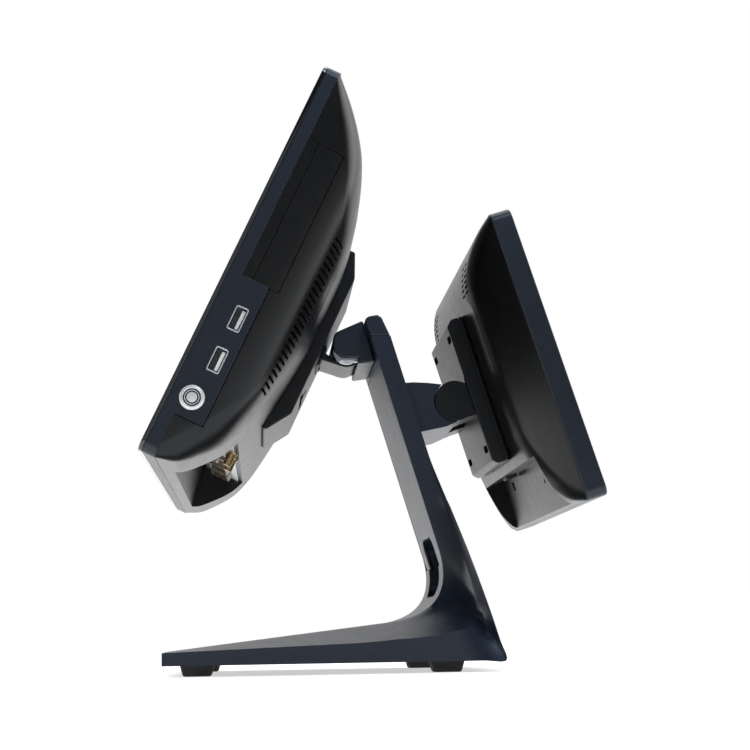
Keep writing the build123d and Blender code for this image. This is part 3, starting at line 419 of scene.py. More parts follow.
NAVY = (0.0085, 0.0130, 0.0240)
LOOKS = {
    "stand_plastic": plastic("stand_plastic", NAVY, 0.36, 0.22, 1500, specular=0.42),
    "bezel_plastic": plastic(
        "bezel_plastic", (0.0070, 0.0095, 0.0165), 0.36, 0.2, 1700, round_off=0.4, specular=0.42
    ),
    "housing_plastic": plastic(
        "housing_plastic", (0.0030, 0.0030, 0.0032), 0.30, 0.12, 1800, round_off=0.3, specular=0.3
    ),
    "bracket_paint": plastic(
        "bracket_paint", (0.0040, 0.0045, 0.0055), 0.36, 0.3, 1100, round_off=0.4, specular=0.32
    ),
    "bracket_plastic": plastic(
        "bracket_plastic", (0.0050, 0.0062, 0.0085), 0.36, 0.22, 1500, round_off=0.4, specular=0.36
    ),
    "drive_case": metal("drive_case", (0.62, 0.63, 0.64), 0.34, (5.0, 0.3, 0.3)),
    "lcd_glass": glass("lcd_glass"),
    "screen_glass": glass("screen_glass"),
    "screen_panel": glass("screen_panel", (0.013, 0.015, 0.019), (0.019, 0.022, 0.028), 0.12),
    "black_steel": plastic("black_steel", (0.016, 0.016, 0.017), 0.5, 0.6, 700, round_off=0.3),
    "steel": metal("steel", (0.58, 0.58, 0.60), 0.32, (1.0, 5.0, 5.0)),
    "panel_metal": metal("panel_metal", (0.60, 0.61, 0.62), 0.38, (0.2, 6.0, 6.0)),
    "chrome": metal("chrome", (0.84, 0.84, 0.86), 0.14, (0.4, 4.0, 4.0), 300, 0.12, 0.05),
    "button_steel": metal("button_steel", (0.70, 0.69, 0.67), 0.34, (0.3, 3.0, 3.0), 420, 0.0, 0.06, 0.35),
    "connector_metal": metal("connector_metal", (0.17, 0.14, 0.10), 0.36, (0.5, 3.0, 3.0), 300, 0.2),
    "brass": metal("brass", (0.76, 0.56, 0.26), 0.26, (0.5, 4.0, 4.0)),
    # a darker copy of the brass: painted shade for the studs in the connector bay
    "shaded_stud_brass": metal("shaded_stud_brass", (0.34, 0.24, 0.12), 0.34, (0.5, 4.0, 4.0)),
    "heatsink_aluminium": metal("heatsink_aluminium", (0.66, 0.67, 0.69), 0.36, (6.0, 0.3, 0.3)),
    "circuit_board": board("circuit_board"),
    "chip": plastic("chip", (0.012, 0.012, 0.013), 0.55, 0.5, 1300, round_off=0.25),
    "tongue_plastic": plastic("tongue_plastic", (0.74, 0.72, 0.68), 0.4, 0.15, 1600, round_off=0.15),
    "rubber": rubber("rubber"),
}
# each recorded part's solids take the look of its recorded slot, or the chip look when there is none
for part in frame["record"]["subparts"]:
    for holder in nodes[part["node"]].material_slots:
        holder.material = LOOKS.get(part["material_slot"], LOOKS["chip"])

# ---------------------------------------------------------------- stand: base and neck
HEEL_Y, BASE_FRONT, BASE_HALF, RIDGE_HALF = 101.5, -101.0, 100.0, 50.0
NECK_T, NECK_TOP, NECK_SLOPE = 12.7, 212.0, tan(radians(16.54))
COVER_LOW, COVER_HIGH, COVER_HALF, COVER_T = 66.0, 196.0, 46.4, 2.5


def neck_rear(z):
    return HEEL_Y - NECK_SLOPE * (z - BASE_BOTTOM)


def neck_line(z):
    return neck_rear(z) - NECK_T


def flare_half(z):
    share = min(1.0, max(0.0, (134.0 - z) / 104.0))
    return RIDGE_HALF + (BASE_HALF - 0.5 - RIDGE_HALF) * sin(pi / 2 * share) ** 1.3


def ridge_height(y):
    return 14.6 + 0.114 * (y - BASE_FRONT)


def skirt_height(y):
    return 14.0 + 0.034 * (y - BASE_FRONT) + 0.00158 * max(0.0, y - 10.0) ** 2


def ease(t):
    t = min(1.0, max(0.0, t))
    return t * t * (3 - 2 * t)


FILLET_START, FILLET_END = (36.0, ridge_height(36.0)), (neck_line(76.0), 76.0)
CORNER = (80.2, 35.3)  # where the base's ridge line and the neck's front line would meet


def fillet_point(t):
    """The hollow curve between the base's ridge and the neck's front."""
    a, b = (1 - t) ** 2, t * t
    m = 2 * t * (1 - t)
    return tuple(a * FILLET_START[k] + m * CORNER[k] + b * FILLET_END[k] for k in (0, 1))


# The crease runs back along the skirt's top edge, turns up round the corner and climbs the neck's
# rear edge. Each of its points (x, y, z) has one beside it on the stand's outer edge.
CREASE = (
    (100.0, 47.8, 20.3), (100.0, 58.0, 21.4), (100.0, 66.9, 22.9), (99.9, 74.0, 24.4), (98.0, 79.8, 26.0),
    (92.5, 83.8, 28.6), (84.5, 86.4, 32.2), (76.0, 88.0, 37.5), (69.0, 88.8, 44.0), (64.5, 87.6, 53.0),
    (59.5, 85.4, 63.0), (55.5, 83.0, 73.5), (52.6, 80.2, 85.5), (50.8, 76.8, 100.0),
)
OUTER = (
    (100.0, 47.8, 6.4), (100.0, 58.0, 6.4), (100.0, 67.5, 6.4), (100.0, 77.0, 6.4), (100.0, 89.0, 6.4),
    (100.0, 101.5, 6.4), (99.6, 98.2, 17.6), (99.0, 94.2, 31.0), (96.9, 90.3, 44.0), (93.9, 87.2, 54.4),
    (90.6, 84.7, 63.0), (86.0, 81.6, 73.5), (79.7, 78.0, 85.5), (71.0, 73.7, 100.0),
)


def along(points, share):
    """A point part of the way along a smooth curve through the points."""
    spot = min(max(share, 0.0), 1.0) * (len(points) - 1)
    k = min(int(spot), len(points) - 2)
    t = spot - k
    around = [Vector(points[min(max(k + step, 0), len(points) - 1)]) for step in (-1, 0, 1, 2)]
    a, b, c, d = around
    square = (2 * a - 5 * b + 4 * c - d) * t * t
    cube = (3 * b - a - 3 * c + d) * t * t * t
    return 0.5 * ((2 * b) + (c - a) * t + square + cube)


def stand_rings():
    """Rings of the stand's skin from the base's front edge to the neck's top."""
    stations = []
    steps = 24
    for i in range(steps):
        y = BASE_FRONT + (FILLET_START[0] - BASE_FRONT) * i / steps
        edge = Vector((BASE_HALF, y, skirt_height(y)))
        stations.append(((y, ridge_height(y)), edge, Vector((BASE_HALF, y, BASE_BOTTOM))))
    steps = 52
    start_edge = (BASE_HALF, FILLET_START[0], skirt_height(FILLET_START[0]))
    start_foot = (BASE_HALF, FILLET_START[0], BASE_BOTTOM)
    for i in range(steps + 1):
        share = i / steps
        inner = fillet_point(share / 0.72) if share < 0.72 else None
        if inner is None:
            z = FILLET_END[1] + (100.0 - FILLET_END[1]) * (share - 0.72) / 0.28
            inner = (neck_line(z), z)
        stations.append((inner, along((start_edge, *CREASE), share), along((start_foot, *OUTER), share)))
    steps = 26
    for i in range(1, steps + 1):
        z = 100.0 + (NECK_TOP - 100.0) * i / steps
        near = ease((140.0 - z) / 40.0)
        edge = Vector((RIDGE_HALF + 1.0 * near, neck_rear(z) - 0.2 - 0.3 * near, z))
        outer_x = max(flare_half(z), edge.x + 0.02)
        stations.append(((neck_line(z), z), edge, Vector((outer_x, neck_rear(z), z))))
    rings = []
    for k, (inner, crease, outer) in enumerate(stations):
        a = Vector((RIDGE_HALF, inner[0], inner[1]))
        hollow = ease((k - 24) / 34)
        across, back = 0.12 * (crease.x - a.x), 0.8 * (crease.y - a.y)
        scoop = Vector((a.x + across, a.y + back, a.z * 0.35 + crease.z * 0.65))
        pull = a.lerp(crease, 0.5).lerp(scoop, hollow)
        side = []
        for j in range(1, 10):
            t = j / 10
            side.append(a * (1 - t) ** 2 + pull * 2 * t * (1 - t) + crease * t * t)
        right = [a] + side + [crease, crease.lerp(outer, 0.35), crease.lerp(outer, 0.7), outer]
        left = [Vector((-p.x, p.y, p.z)) for p in reversed(right)]
        rings.append(left + right)
    return rings


stand = thing("stand_shell", loft(stand_rings()))
round_edges(stand, 1.3, 3, 32)
apply(stand)
seam = 0.25
cut(
    stand,
    prism(
        [
            (neck_line(COVER_LOW) - 25, COVER_LOW - seam),
            (neck_line(COVER_LOW) + COVER_T + 0.3, COVER_LOW - seam),
            (neck_line(COVER_HIGH) + COVER_T + 0.3, COVER_HIGH + seam),
            (neck_line(COVER_HIGH) - 25, COVER_HIGH + seam),
        ],
        -COVER_HALF - seam,
        COVER_HALF + seam,
    ),
)


def cable_cutter(grow=0.0):
    """A rounded block through the neck's front, where cables come out."""
    rings = []
    for y in (44.0, neck_line(60.0) + 8.5):
        ring = []
        for quarter in range(4):
            cx = 18.0 * (1 if quarter in (0, 3) else -1)
            cz = 65.8 + 9.1 * (1 if quarter in (0, 1) else -1)
            for i in range(9):
                angle = pi / 2 * (quarter + i / 8)
                ring.append(Vector((cx + (10 + grow) * cos(angle), y, cz + (10 + grow) * sin(angle))))
        rings.append(ring)
    return loft(rings)


cut(stand, cable_cutter())
shade(stand)
place(stand, "stand", "stand_plastic", "stand_body")

cover = thing(
    "neck_cover",
    prism(
        [
            (neck_line(COVER_LOW), COVER_LOW),
            (neck_line(COVER_LOW) + COVER_T, COVER_LOW),
            (neck_line(COVER_HIGH) + COVER_T, COVER_HIGH),
            (neck_line(COVER_HIGH), COVER_HIGH),
        ],
        -COVER_HALF,
        COVER_HALF,
    ),
)
cut(cover, cable_cutter())
soften(cover, 0.6, 2)
place(cover, "stand", "stand_plastic", "neck_front_cover")

feet = []
for x in (-79, 79):
    for y in (-81, 68):
        rings = []
        for half, corner, z in ((7.6, 2, 0.0), (8.5, 2.2, 0.8), (10.1, 2.6, BASE_BOTTOM)):
            flat = Display(y, z, 0, 1)
            outline = round_ring(flat, x, 0, half, half, corner, 0, 5)
            rings.append([Vector((p.x, p.z - z + y, z)) for p in outline])
        feet.append(loft(rings))
pads = thing("feet", join(*feet))
soften(pads, 0.5, 2, 40)
place(pads, "stand", "rubber", "rubber_feet")

# ---------------------------------------------------------------- stand: cap, shroud and arm
cap = thing(
    "neck_top",
    prism(
        [
            (neck_line(NECK_TOP), NECK_TOP), (24.2, 220.0), (24.3, 222.8), (26.4, 224.8),
            (32.4, 225.9), (35.0, 224.0), (38.3, 216.6), (neck_rear(NECK_TOP), NECK_TOP),
        ],
        -RIDGE_HALF,
        RIDGE_HALF,
    ),
)
soften(cap, 1.2, 3, 30)
place(cap, "stand", "stand_plastic", "neck_cap")

SHROUD_HALF, SHROUD_WALL = 35.0, 2.2
shroud = thing(
    "hinge_cover",
    prism(
        [
            (4.1, 205.3), (4.6, 214.8), (6.4, 217.5), (23.8, 225.1), (25.0, 221.5),
            (31.6, 198.0), (20.4, 196.4), (20.4, 200.3), (10.0, 200.3),
        ],
        -SHROUD_HALF,
        SHROUD_HALF,
    ),
)
round_edges(shroud, 1.2, 3, 30)
apply(shroud)
inner_half = SHROUD_HALF - SHROUD_WALL
cut(
    shroud,
    prism(
        [(0, 190), (0, 212.2), (22.7, 222.2), (22.7, 198.6), (19, 198.6), (19, 190)],
        -inner_half,
        inner_half,
    ),
)
cut(shroud, prism(circle(TILT_AXIS, 10.6, 40), -inner_half, inner_half))
cut(shroud, prism([(neck_line(190), 190), (neck_line(232), 232), (60, 232), (60, 190)], -40, 40))
shade(shroud)
place(shroud, "stand", "stand_plastic", "hinge_shroud")

seat = arc(ARM_AXIS, 13.5, range(128, 281, 6))
arm = thing(
    "customer_arm_shell",
    prism(
        [
            (neck_rear(182.0), 182.0), (55.0, 182.4), (64.0, 182.0),
            *seat, (76.0, 153.6), (neck_rear(150.0), 150.0),
        ],
        -45,
        45,
    ),
)
soften(arm, 1.5, 3, 30)
place(arm, "stand", "stand_plastic", "customer_arm")
LUG_HALF = 14.7
lug_end = prism(circle(ARM_AXIS, 9.5, 32), -LUG_HALF, LUG_HALF)
lug_root = prism([(66, 178), (78, 178.6), (78, 162), (66, 163)], -LUG_HALF, LUG_HALF)
tongue = thing("customer_arm_lug", join(lug_end, lug_root))
soften(tongue, 0.5, 2, 40)
place(tongue, "stand", "stand_plastic")

# ---------------------------------------------------------------- cashier display: glass, bezel and pad
screen = thing("cashier_glass", round_box(main, 0, MAIN_H / 2, MAIN_W, MAIN_H, 6, 0, GLASS_T - 0.05, 8))
soften(screen, 0.5, 3)
place(screen, "main_display", "screen_glass", "touch_glass")

PAD_LOW, PAD_HIGH, PAD_DEEP, PAD_W, PAD_WALL = 26.0, 111.0, 26.5, 16.0, 2.5
USB_PLACES = ((18.5, 87.5), (18.3, 62.1))
BUTTON = (14.7, 37.6)
SIDE_X = MAIN_W / 2


def side_ring(depth, up, half_d, half_u, corner, x, steps=6):
    points = []
    for quarter in range(4):
        cd = (half_d - corner) * (1 if quarter in (0, 3) else -1)
        cu = (half_u - corner) * (1 if quarter in (0, 1) else -1)
        for i in range(steps + 1):
            angle = pi / 2 * (quarter + i / steps)
            points.append(main.at(x, up + cu + corner * sin(angle), depth + cd + corner * cos(angle)))
    return points


def side_block(depth, up, half_d, half_u, corner, x0, x1):
    return loft([side_ring(depth, up, half_d, half_u, corner, x) for x in (x0, x1)])


bezel = thing("cashier_bezel", round_box(main, 0, MAIN_H / 2, MAIN_W, MAIN_H, 6, GLASS_T + 0.1, BEZEL_T, 8))
pad_block = side_block(
    (BEZEL_T + PAD_DEEP) / 2 - 2,
    (PAD_LOW + PAD_HIGH) / 2,
    (PAD_DEEP - BEZEL_T) / 2 + 2,
    (PAD_HIGH - PAD_LOW) / 2,
    1.2,
    SIDE_X - PAD_W,
    SIDE_X - 0.05,
)
cut(bezel, pad_block, operation="UNION")
round_edges(bezel, 0.7, 3)
apply(bezel)
cut(bezel, round_box(main, 0, MAIN_H / 2, 361.5, 225.8, 2, -5, 20, 3))
cut(
    bezel,
    side_block((BEZEL_T + PAD_DEEP - 2) / 2, (PAD_LOW + PAD_HIGH) / 2, (PAD_DEEP - 2 - BEZEL_T) / 2,
               (PAD_HIGH - PAD_LOW - 4) / 2, 0.5, SIDE_X - PAD_W - 1, SIDE_X - PAD_WALL),
)
button_point = main.at(SIDE_X, BUTTON[1], BUTTON[0])
holes = [side_block(d, u, 3.75, 7.3, 1.3, SIDE_X - PAD_W - 2, SIDE_X + 2) for d, u in USB_PLACES]
cut(bezel, *holes)
# The button's hole. Known fault: the boolean leaves this cutter in the bezel as a plug, which ends just
# below the top of the button's ring.
cut(bezel, lathe([(SIDE_X - PAD_W - 1.6, 6.05), (SIDE_X + 1.3, 6.05)], button_point.y, button_point.z, 48))
seams = [display_prism(main, rectangle(3.2, 9.4, -1, 0.5), x - 0.25, x + 0.25) for x in (-118, 118)]
cut(bezel, *seams)
shade(bezel)
place(bezel, "main_display", "bezel_plastic", "front_bezel")

# ---------------------------------------------------------------- cashier display: rear housing
HOUSING = (
    (BEZEL_T, 186.8, 0.3, 242.0, 8),
    (20.0, 184.5, 4.0, 234.5, 18),
    (31.0, 181.5, 14.5, 223.0, 24),
    (39.0, 178.0, 25.0, 212.0, 28),
    (44.5, 172.5, 39.0, 201.0, 30),
    (49.0, 163.0, 62.0, 189.0, 32),
    (52.5, 148.0, 88.0, 176.0, 28),
    (54.5, 130.0, 110.0, 160.0, 20),
)


def skin(display, stations, shift=0.0, inset=0.0, steps=44, corner_steps=10):
    """Rings over a domed housing, with rows closer together where it curves most."""
    first, last = stations[0][0], stations[-1][0]
    rings = []
    for i in range(steps + 1):
        depth = first + (last - first) * sin(pi / 2 * i / steps)
        half, low, high, corner = steady(stations, depth)
        middle, half_h = (low + high) / 2, (high - low) / 2
        rings.append(
            round_ring(display, 0, middle, half - inset, half_h - inset, corner, depth - shift, corner_steps)
        )
    return rings


BAY_HALF, BAY_TOP, BAY_FRONT = 115.0, 34.0, 12.8
TRAY_HALF, TRAY_LOW, TRAY_HIGH, TRAY_FRONT, TRAY_BACK = 50.0, 56.1, 185.0, 48.0, 61.0
PORTS = {
    "power_inlet": ((92.0, 15.0, 35.0),),
    "lan_jack": ((66.0, 16.5, 36.0),),
    "usb_stack": ((40.0, 15.0, 37.0),),
    "video_port": ((8.0, 16.0, 29.0),),
    "serial_ports": ((-38.0, 31.0, 35.0), (-80.0, 31.0, 35.0)),
}
BOARD_BACK = 21.6

housing = thing("cashier_housing", loft(skin(main, HOUSING)))
hollow = thing("hollow", loft(skin(main, HOUSING, 2.2, 1.8)))
cut(
    hollow,
    display_prism(
        main,
        [(5, -5), (5, 8), (BAY_FRONT - 2, BAY_TOP + 2), (70, BAY_TOP + 2), (70, -5)],
        -BAY_HALF - 2,
        BAY_HALF + 2,
    ),
)
cut(hollow, round_box(main, 0, (TRAY_LOW + TRAY_HIGH) / 2, 106, 133, 1, TRAY_FRONT - 2.2, 70, 2))
carve(housing, hollow)
bay_outline = [(17.4, -5), (17.4, 0), (BAY_FRONT, BAY_TOP), (70, BAY_TOP), (70, -5)]
cut(housing, display_prism(main, bay_outline, -BAY_HALF, BAY_HALF))
recess_w, recess_h = 2 * TRAY_HALF + 1, TRAY_HIGH - TRAY_LOW + 1
cut(housing, round_box(main, 0, (TRAY_LOW + TRAY_HIGH) / 2, recess_w, recess_h, 1, TRAY_FRONT, 70, 2))
cut(
    housing,
    display_prism(
        main, rectangle(3, PAD_DEEP + 0.3, PAD_LOW - 0.3, PAD_HIGH + 0.3), SIDE_X - PAD_W - 0.2, SIDE_X + 10
    ),
)
vents = []
for side in (-1, 1):
    for i in range(25):
        up = 61.0 + 4.0 * i
        vents.append(round_box(main, side * 160, up, 18, 1.8, 0.9, 41.0, 58.0, 4))
cut(housing, *vents)
sockets = []
for group in PORTS.values():
    for x, width, deep in group:
        outline = rectangle(BOARD_BACK - 0.2, deep + 0.2, 30, 40)
        sockets.append(display_prism(main, outline, x - width / 2 - 0.2, x + width / 2 + 0.2))
cut(housing, *sockets)
# the blank cover's place in the flank
BLANK_D, BLANK_UP, BLANK_HALF_D, BLANK_HALF_UP = 24.0, 155.0, 8.0, 44.0
cut(housing, side_block(BLANK_D, BLANK_UP, BLANK_HALF_D, BLANK_HALF_UP, 0.6, 172, 200))
shade(housing)
place(housing, "main_display", "housing_plastic", "rear_housing")

blank = thing("blank_cover", loft(skin(main, HOUSING, 0.25, 0.25)))
cut(blank, loft(skin(main, HOUSING, 2.4, 2.4)))
kept = side_block(BLANK_D, BLANK_UP, BLANK_HALF_D - 0.35, BLANK_HALF_UP - 0.35, 0.5, 172, 200)
cut(blank, kept, operation="INTERSECT")
shade(blank)
place(blank, "main_display", "housing_plastic", "card_reader_blank")



def picture_area(name, display, middle, wide, high, depth, body):
    """The lit part of the screen: a hair proud of the cover glass so that it reads as a separate tone."""
    area = thing(name, round_box(display, 0, middle, wide, high, 0.6, depth, depth + 0.3, 3))
    soften(area, 0.03, 1)
    place(area, body, "screen_panel")


picture_area("cashier_picture_area", main, MAIN_H / 2, 345.0, 194.5, -0.03, "main_display")

# ---------------------------------------------------------------- cashier display: ports and button
shells = []
tongues = []
for depth, up in USB_PLACES:
    outer = [side_ring(depth, up, 3.5, 7.0, 1.0, x) for x in (SIDE_X - 15, SIDE_X + 0.1)]
    lip = [side_ring(depth, up, 3.75, 7.25, 1.1, x) for x in (SIDE_X - 0.5, SIDE_X + 0.35)]
    shells += [loft(outer), loft(lip)]
    outline = rectangle(depth + 0.35, depth + 2.25, up - 5.6, up + 5.6)
    tongues.append(display_prism(main, outline, SIDE_X - 13, SIDE_X - 1.6))
shell = thing("side_usb_shell", shells[0])
for extra in shells[1:]:
    cut(shell, extra, operation="UNION")
cut(shell, *[side_block(d, u, 3.0, 6.5, 0.7, SIDE_X - 13, SIDE_X + 4) for d, u in USB_PLACES])
spring_slots = []
for d, u in USB_PLACES:
    for s in (-3.2, 3.2):
        outline = rectangle(d - 4, d - 2.9, u + s - 0.9, u + s + 0.9)
        spring_slots.append(display_prism(main, outline, SIDE_X - 9, SIDE_X - 3))
cut(shell, *spring_slots)
soften(shell, 0.12, 2, 40)
place(shell, "main_display", "chrome", "side_usb_shells")
tongue_piece = thing("side_usb_tongue", join(*tongues))
soften(tongue_piece, 0.2, 2)
place(tongue_piece, "main_display", "tongue_plastic", "side_usb_tongues")
contacts = []
for depth, up in USB_PLACES:
    for step in (-3.6, -1.2, 1.2, 3.6):
        outline = rectangle(depth + 0.2, depth + 0.36, up + step - 0.55, up + step + 0.55)
        contacts.append(display_prism(main, outline, SIDE_X - 11, SIDE_X - 2.4))
# Dark plugs filling each socket from 3.2 mm in: painted shade standing in for the shadowed hollow of the port.
port_shade_plugs = []
for depth, up in USB_PLACES:
    port_shade_plugs.append(side_block(depth, up, 2.95, 6.45, 0.6, SIDE_X - 13.2, SIDE_X - 3.2))
port_shade = thing("side_usb_painted_shade", join(*port_shade_plugs))
soften(port_shade, 0.2, 2)
place(port_shade, "main_display", "chip")
contact = thing("side_usb_contacts", join(*contacts))
shade(contact)
place(contact, "main_display", "brass")

X0 = SIDE_X
ring = thing(
    "button_ring",
    lathe(
        [
            (X0 - 14, 4.8), (X0 - 14, 5.95), (X0 - 0.02, 5.95), (X0 - 0.02, 6.6), (X0 + 0.1, 6.95),
            (X0 + 0.5, 7.0), (X0 + 1.0, 6.75), (X0 + 1.4, 6.2), (X0 + 1.6, 5.6), (X0 + 1.55, 5.15),
            (X0 + 1.2, 4.85), (X0 + 0.6, 4.8),
        ],
        button_point.y, button_point.z,
    ),
)
bm = bmesh.new()
bm.from_mesh(ring.data)
bmesh.ops.delete(bm, geom=[f for f in bm.faces if len(f.verts) > 6], context="FACES")
loops = [e for e in bm.edges if len(e.link_faces) == 1]
bmesh.ops.bridge_loops(bm, edges=loops)
bmesh.ops.recalc_face_normals(bm, faces=bm.faces[:])
bm.to_mesh(ring.data)
bm.free()
shade(ring, 50)
place(ring, "main_display", "button_steel", "power_button_bush")
plunger = thing(
    "button_cap",
    lathe(
        [
            (X0 - 8, 4.72), (X0 + 0.2, 4.72), (X0 + 0.5, 4.5), (X0 + 1.1, 4.2), (X0 + 1.4, 4.05),
            (X0 + 1.4, 3.7), (X0 + 0.9, 3.45), (X0 + 0.9, 3.1), (X0 + 1.3, 2.85), (X0 + 1.4, 1.8),
            (X0 + 1.48, 0.9), (X0 + 1.52, 0.05),
        ],
        button_point.y, button_point.z,
    ),
)
shade(plunger, 50)
place(plunger, "power_button", "button_steel", "power_button_plunger")

# threaded studs between the sockets, in the connector bay; their darker brass is painted shade of the bay
STUD_DEPTH = 38.5
studs = []
for x in (24.0, 54.0):
    rows = []
    for k in range(30):
        radius = 2.4 + 0.25 * (k % 2) if k < 24 else 3.3
        level = 24.5 + k * 0.33
        rows.append([main.at(across, level, depth) for across, depth in circle((x, STUD_DEPTH), radius, 24)])
    studs.append(loft(rows))
stud = thing("connector_studs", join(*studs))
shade(stud, 60)
place(stud, "main_display", "shaded_stud_brass")

# ---------------------------------------------------------------- cashier display: tray and knuckle
TRAY_SLOPE = 15.8
tray = thing(
    "mounting_tray",
    display_prism(
        main,
        [
            (TRAY_FRONT, TRAY_LOW), (TRAY_FRONT + 2.7, TRAY_LOW), (TRAY_BACK, TRAY_LOW + TRAY_SLOPE),
            (TRAY_BACK, TRAY_HIGH - TRAY_SLOPE), (TRAY_FRONT + 6, TRAY_HIGH), (TRAY_FRONT, TRAY_HIGH),
        ],
        -TRAY_HALF,
        TRAY_HALF,
    ),
)
round_edges(tray, 1.0, 3, 20)
apply(tray)
VESA_UP = (TRAY_LOW + TRAY_HIGH) / 2
cut(tray, round_box(main, 0, VESA_UP, 2 * TRAY_HALF - 5, 98, 2, TRAY_FRONT - 1, TRAY_BACK - 2.5, 3))
cut(tray, round_box(main, 0, 89.5, 60, 5, 2.4, TRAY_BACK - 6, TRAY_BACK + 5, 6))
cut(tray, round_box(main, 0, 94.0, 12, 8, 1, TRAY_BACK - 6, TRAY_BACK + 5, 3))
shade(tray)
place(tray, "main_display", "bracket_paint", "bracket_tray")

low_joint, high_joint = main.at(0, 116.6, TRAY_BACK), main.at(0, 122.6, TRAY_BACK)
around = arc(TILT_AXIS, 9.95, range(-100, 181, 7))
knuckle = thing(
    "tilt_arm",
    prism(
        [(low_joint.y, low_joint.z), (10.0, 197.2), *around[1:], (5.1, 201.9), (high_joint.y, high_joint.z)],
        -22,
        22,
    ),
)
round_edges(knuckle, 0.9, 3, 30)
apply(knuckle)
cut(knuckle, prism(circle(TILT_AXIS, 5.05, 32), -24, 24))
shade(knuckle)
foot = thing("tilt_arm_foot", round_box(main, 0, 120.2, 40, 14.4, 2, TRAY_BACK, TRAY_BACK + 1.2, 5))
soften(foot, 0.4, 2)
place(knuckle, "main_display", "bracket_paint", "tilt_knuckle")
place(foot, "main_display", "bracket_paint")
heads = []
for x in (-13, 13):
    for up in (116.8, 124.2):
        rows = []
        for depth, radius in ((TRAY_BACK + 1.0, 2.6), (TRAY_BACK + 1.6, 2.5), (TRAY_BACK + 1.9, 2.0)):
            rows.append([main.at(across, high, depth) for across, high in circle((x, up), radius, 24)])
        heads.append(loft(rows))
head = thing("tilt_arm_screw_heads", join(*heads))
shade(head)
place(head, "main_display", "black_steel")

# ---------------------------------------------------------------- customer display
CUST_HOUSING = (
    (CUST_BEZEL_T, 129.6, 0.4, 180.6, 6),
    (18.0, 123.0, 3.0, 177.0, 10),
    (23.0, 115.0, 11.0, 171.5, 14),
    (28.0, 106.0, 26.0, 163.0, 16),
    (31.5, 97.0, 40.0, 153.0, 16),
    (33.0, 88.0, 50.0, 144.0, 16),
)
COVER_FRONT_D, COVER_BACK_D, CUST_UP = 33.1, 44.4, 90.9

frame_piece = thing("customer_frame", round_box(cust, 0, CUST_H / 2, CUST_W, CUST_H, 6, 0, CUST_BEZEL_T, 8))
round_edges(frame_piece, 1.1, 4)
apply(frame_piece)
cut(frame_piece, round_box(cust, 0, CUST_H / 2, CUST_W - 4.6, CUST_H - 4.6, 3.2, -5, 2.6, 5))
cut(frame_piece, round_box(cust, 0, CUST_H / 2, 230.5, 150, 1, -5, 30, 2))
shade(frame_piece)
place(frame_piece, "customer_display", "bezel_plastic", "customer_bezel")
cust_glass = thing("customer_screen", round_box(cust, 0, CUST_H / 2, CUST_W - 5, CUST_H - 5, 3, 0.6, 2.6, 5))
soften(cust_glass, 0.4, 2)
place(cust_glass, "customer_display", "screen_glass", "customer_glass")

picture_area("customer_picture_area", cust, CUST_H / 2, 217.0, 136.0, 0.57, "customer_display")

back = thing("customer_shell", loft(skin(cust, CUST_HOUSING, 0, 0, 30, 8)))
inside = thing("inside", loft(skin(cust, CUST_HOUSING, 2.2, 1.8, 30, 8)))
cut(inside, display_prism(cust, [(5, -5), (5, 38), (60, 38), (60, -5)], -102, 102))
carve(back, inside)
cut(back, display_prism(cust, [(16.5, -5), (16.5, 36), (70, 36), (70, -5)], -100, 100))
vents = []
for x in (-84, -72, 72, 84):
    for i in range(6):
        vents.append(round_box(cust, x, 147 + 3.4 * i, 9, 1.6, 0.75, 16, 36, 4))
cut(back, *vents)
cut(back, display_prism(cust, rectangle(18.3, 26.7, 34, 44), -36.2, -23.8))
latch_hole = round_box(cust, -60, 29.5, 7.0, 6.0, 0.6, 12.0, 20.0, 3)
screw_hole = round_box(cust, 46, 22.0, 3.4, 3.4, 1.65, 12.0, 20.0, 6)
cut(back, latch_hole, screw_hole)
shade(back)
place(back, "customer_display", "housing_plastic", "customer_housing")

lid = thing(
    "customer_bracket",
    display_prism(
        cust,
        [
            (COVER_FRONT_D, CUST_UP - 49), (COVER_BACK_D - 3, CUST_UP - 49), (COVER_BACK_D, CUST_UP - 46),
            (COVER_BACK_D, CUST_UP + 45), (COVER_BACK_D - 4, CUST_UP + 49), (COVER_FRONT_D, CUST_UP + 49),
        ],
        -47,
        47,
    ),
)
round_edges(lid, 0.9, 3, 20)
apply(lid)
groove = thing("groove", round_box(cust, 0, CUST_UP, 100, 104, 1, COVER_FRONT_D + 2.2, COVER_FRONT_D + 3.1, 2))
cut(groove, round_box(cust, 0, CUST_UP, 92.8, 96.8, 1, 30, 50, 2))
carve(lid, groove)
cut(lid, round_box(cust, 0, CUST_UP, 89, 90, 2, COVER_FRONT_D - 1, COVER_BACK_D - 2, 3))
slots = []
for x in (-37.5, 37.5):
    for up in (-37.5, 37.5):
        slots.append(round_box(cust, x, CUST_UP + up, 14, 4.8, 2.35, 30, 50, 6))
cut(lid, *slots)
shade(lid)
place(lid, "customer_display", "bracket_paint", "customer_bracket_cover")

wrap = arc(ARM_AXIS, 13, range(60, 301, 6))
upper, lower = cust.at(0, 102.0, COVER_BACK_D), cust.at(0, 76.2, COVER_BACK_D)
joint = thing("customer_knuckle_shell", prism([(upper.y, upper.z)] + wrap + [(lower.y, lower.z)], -45, 45))
round_edges(joint, 1.0, 3, 30)
apply(joint)
cut(joint, prism(circle(ARM_AXIS, 16, 40), -15.1, 15.1))
cut(joint, prism(circle(ARM_AXIS, 4.05, 28), -29.2, 29.2))
shade(joint)
place(joint, "customer_display", "bracket_paint", "customer_knuckle")

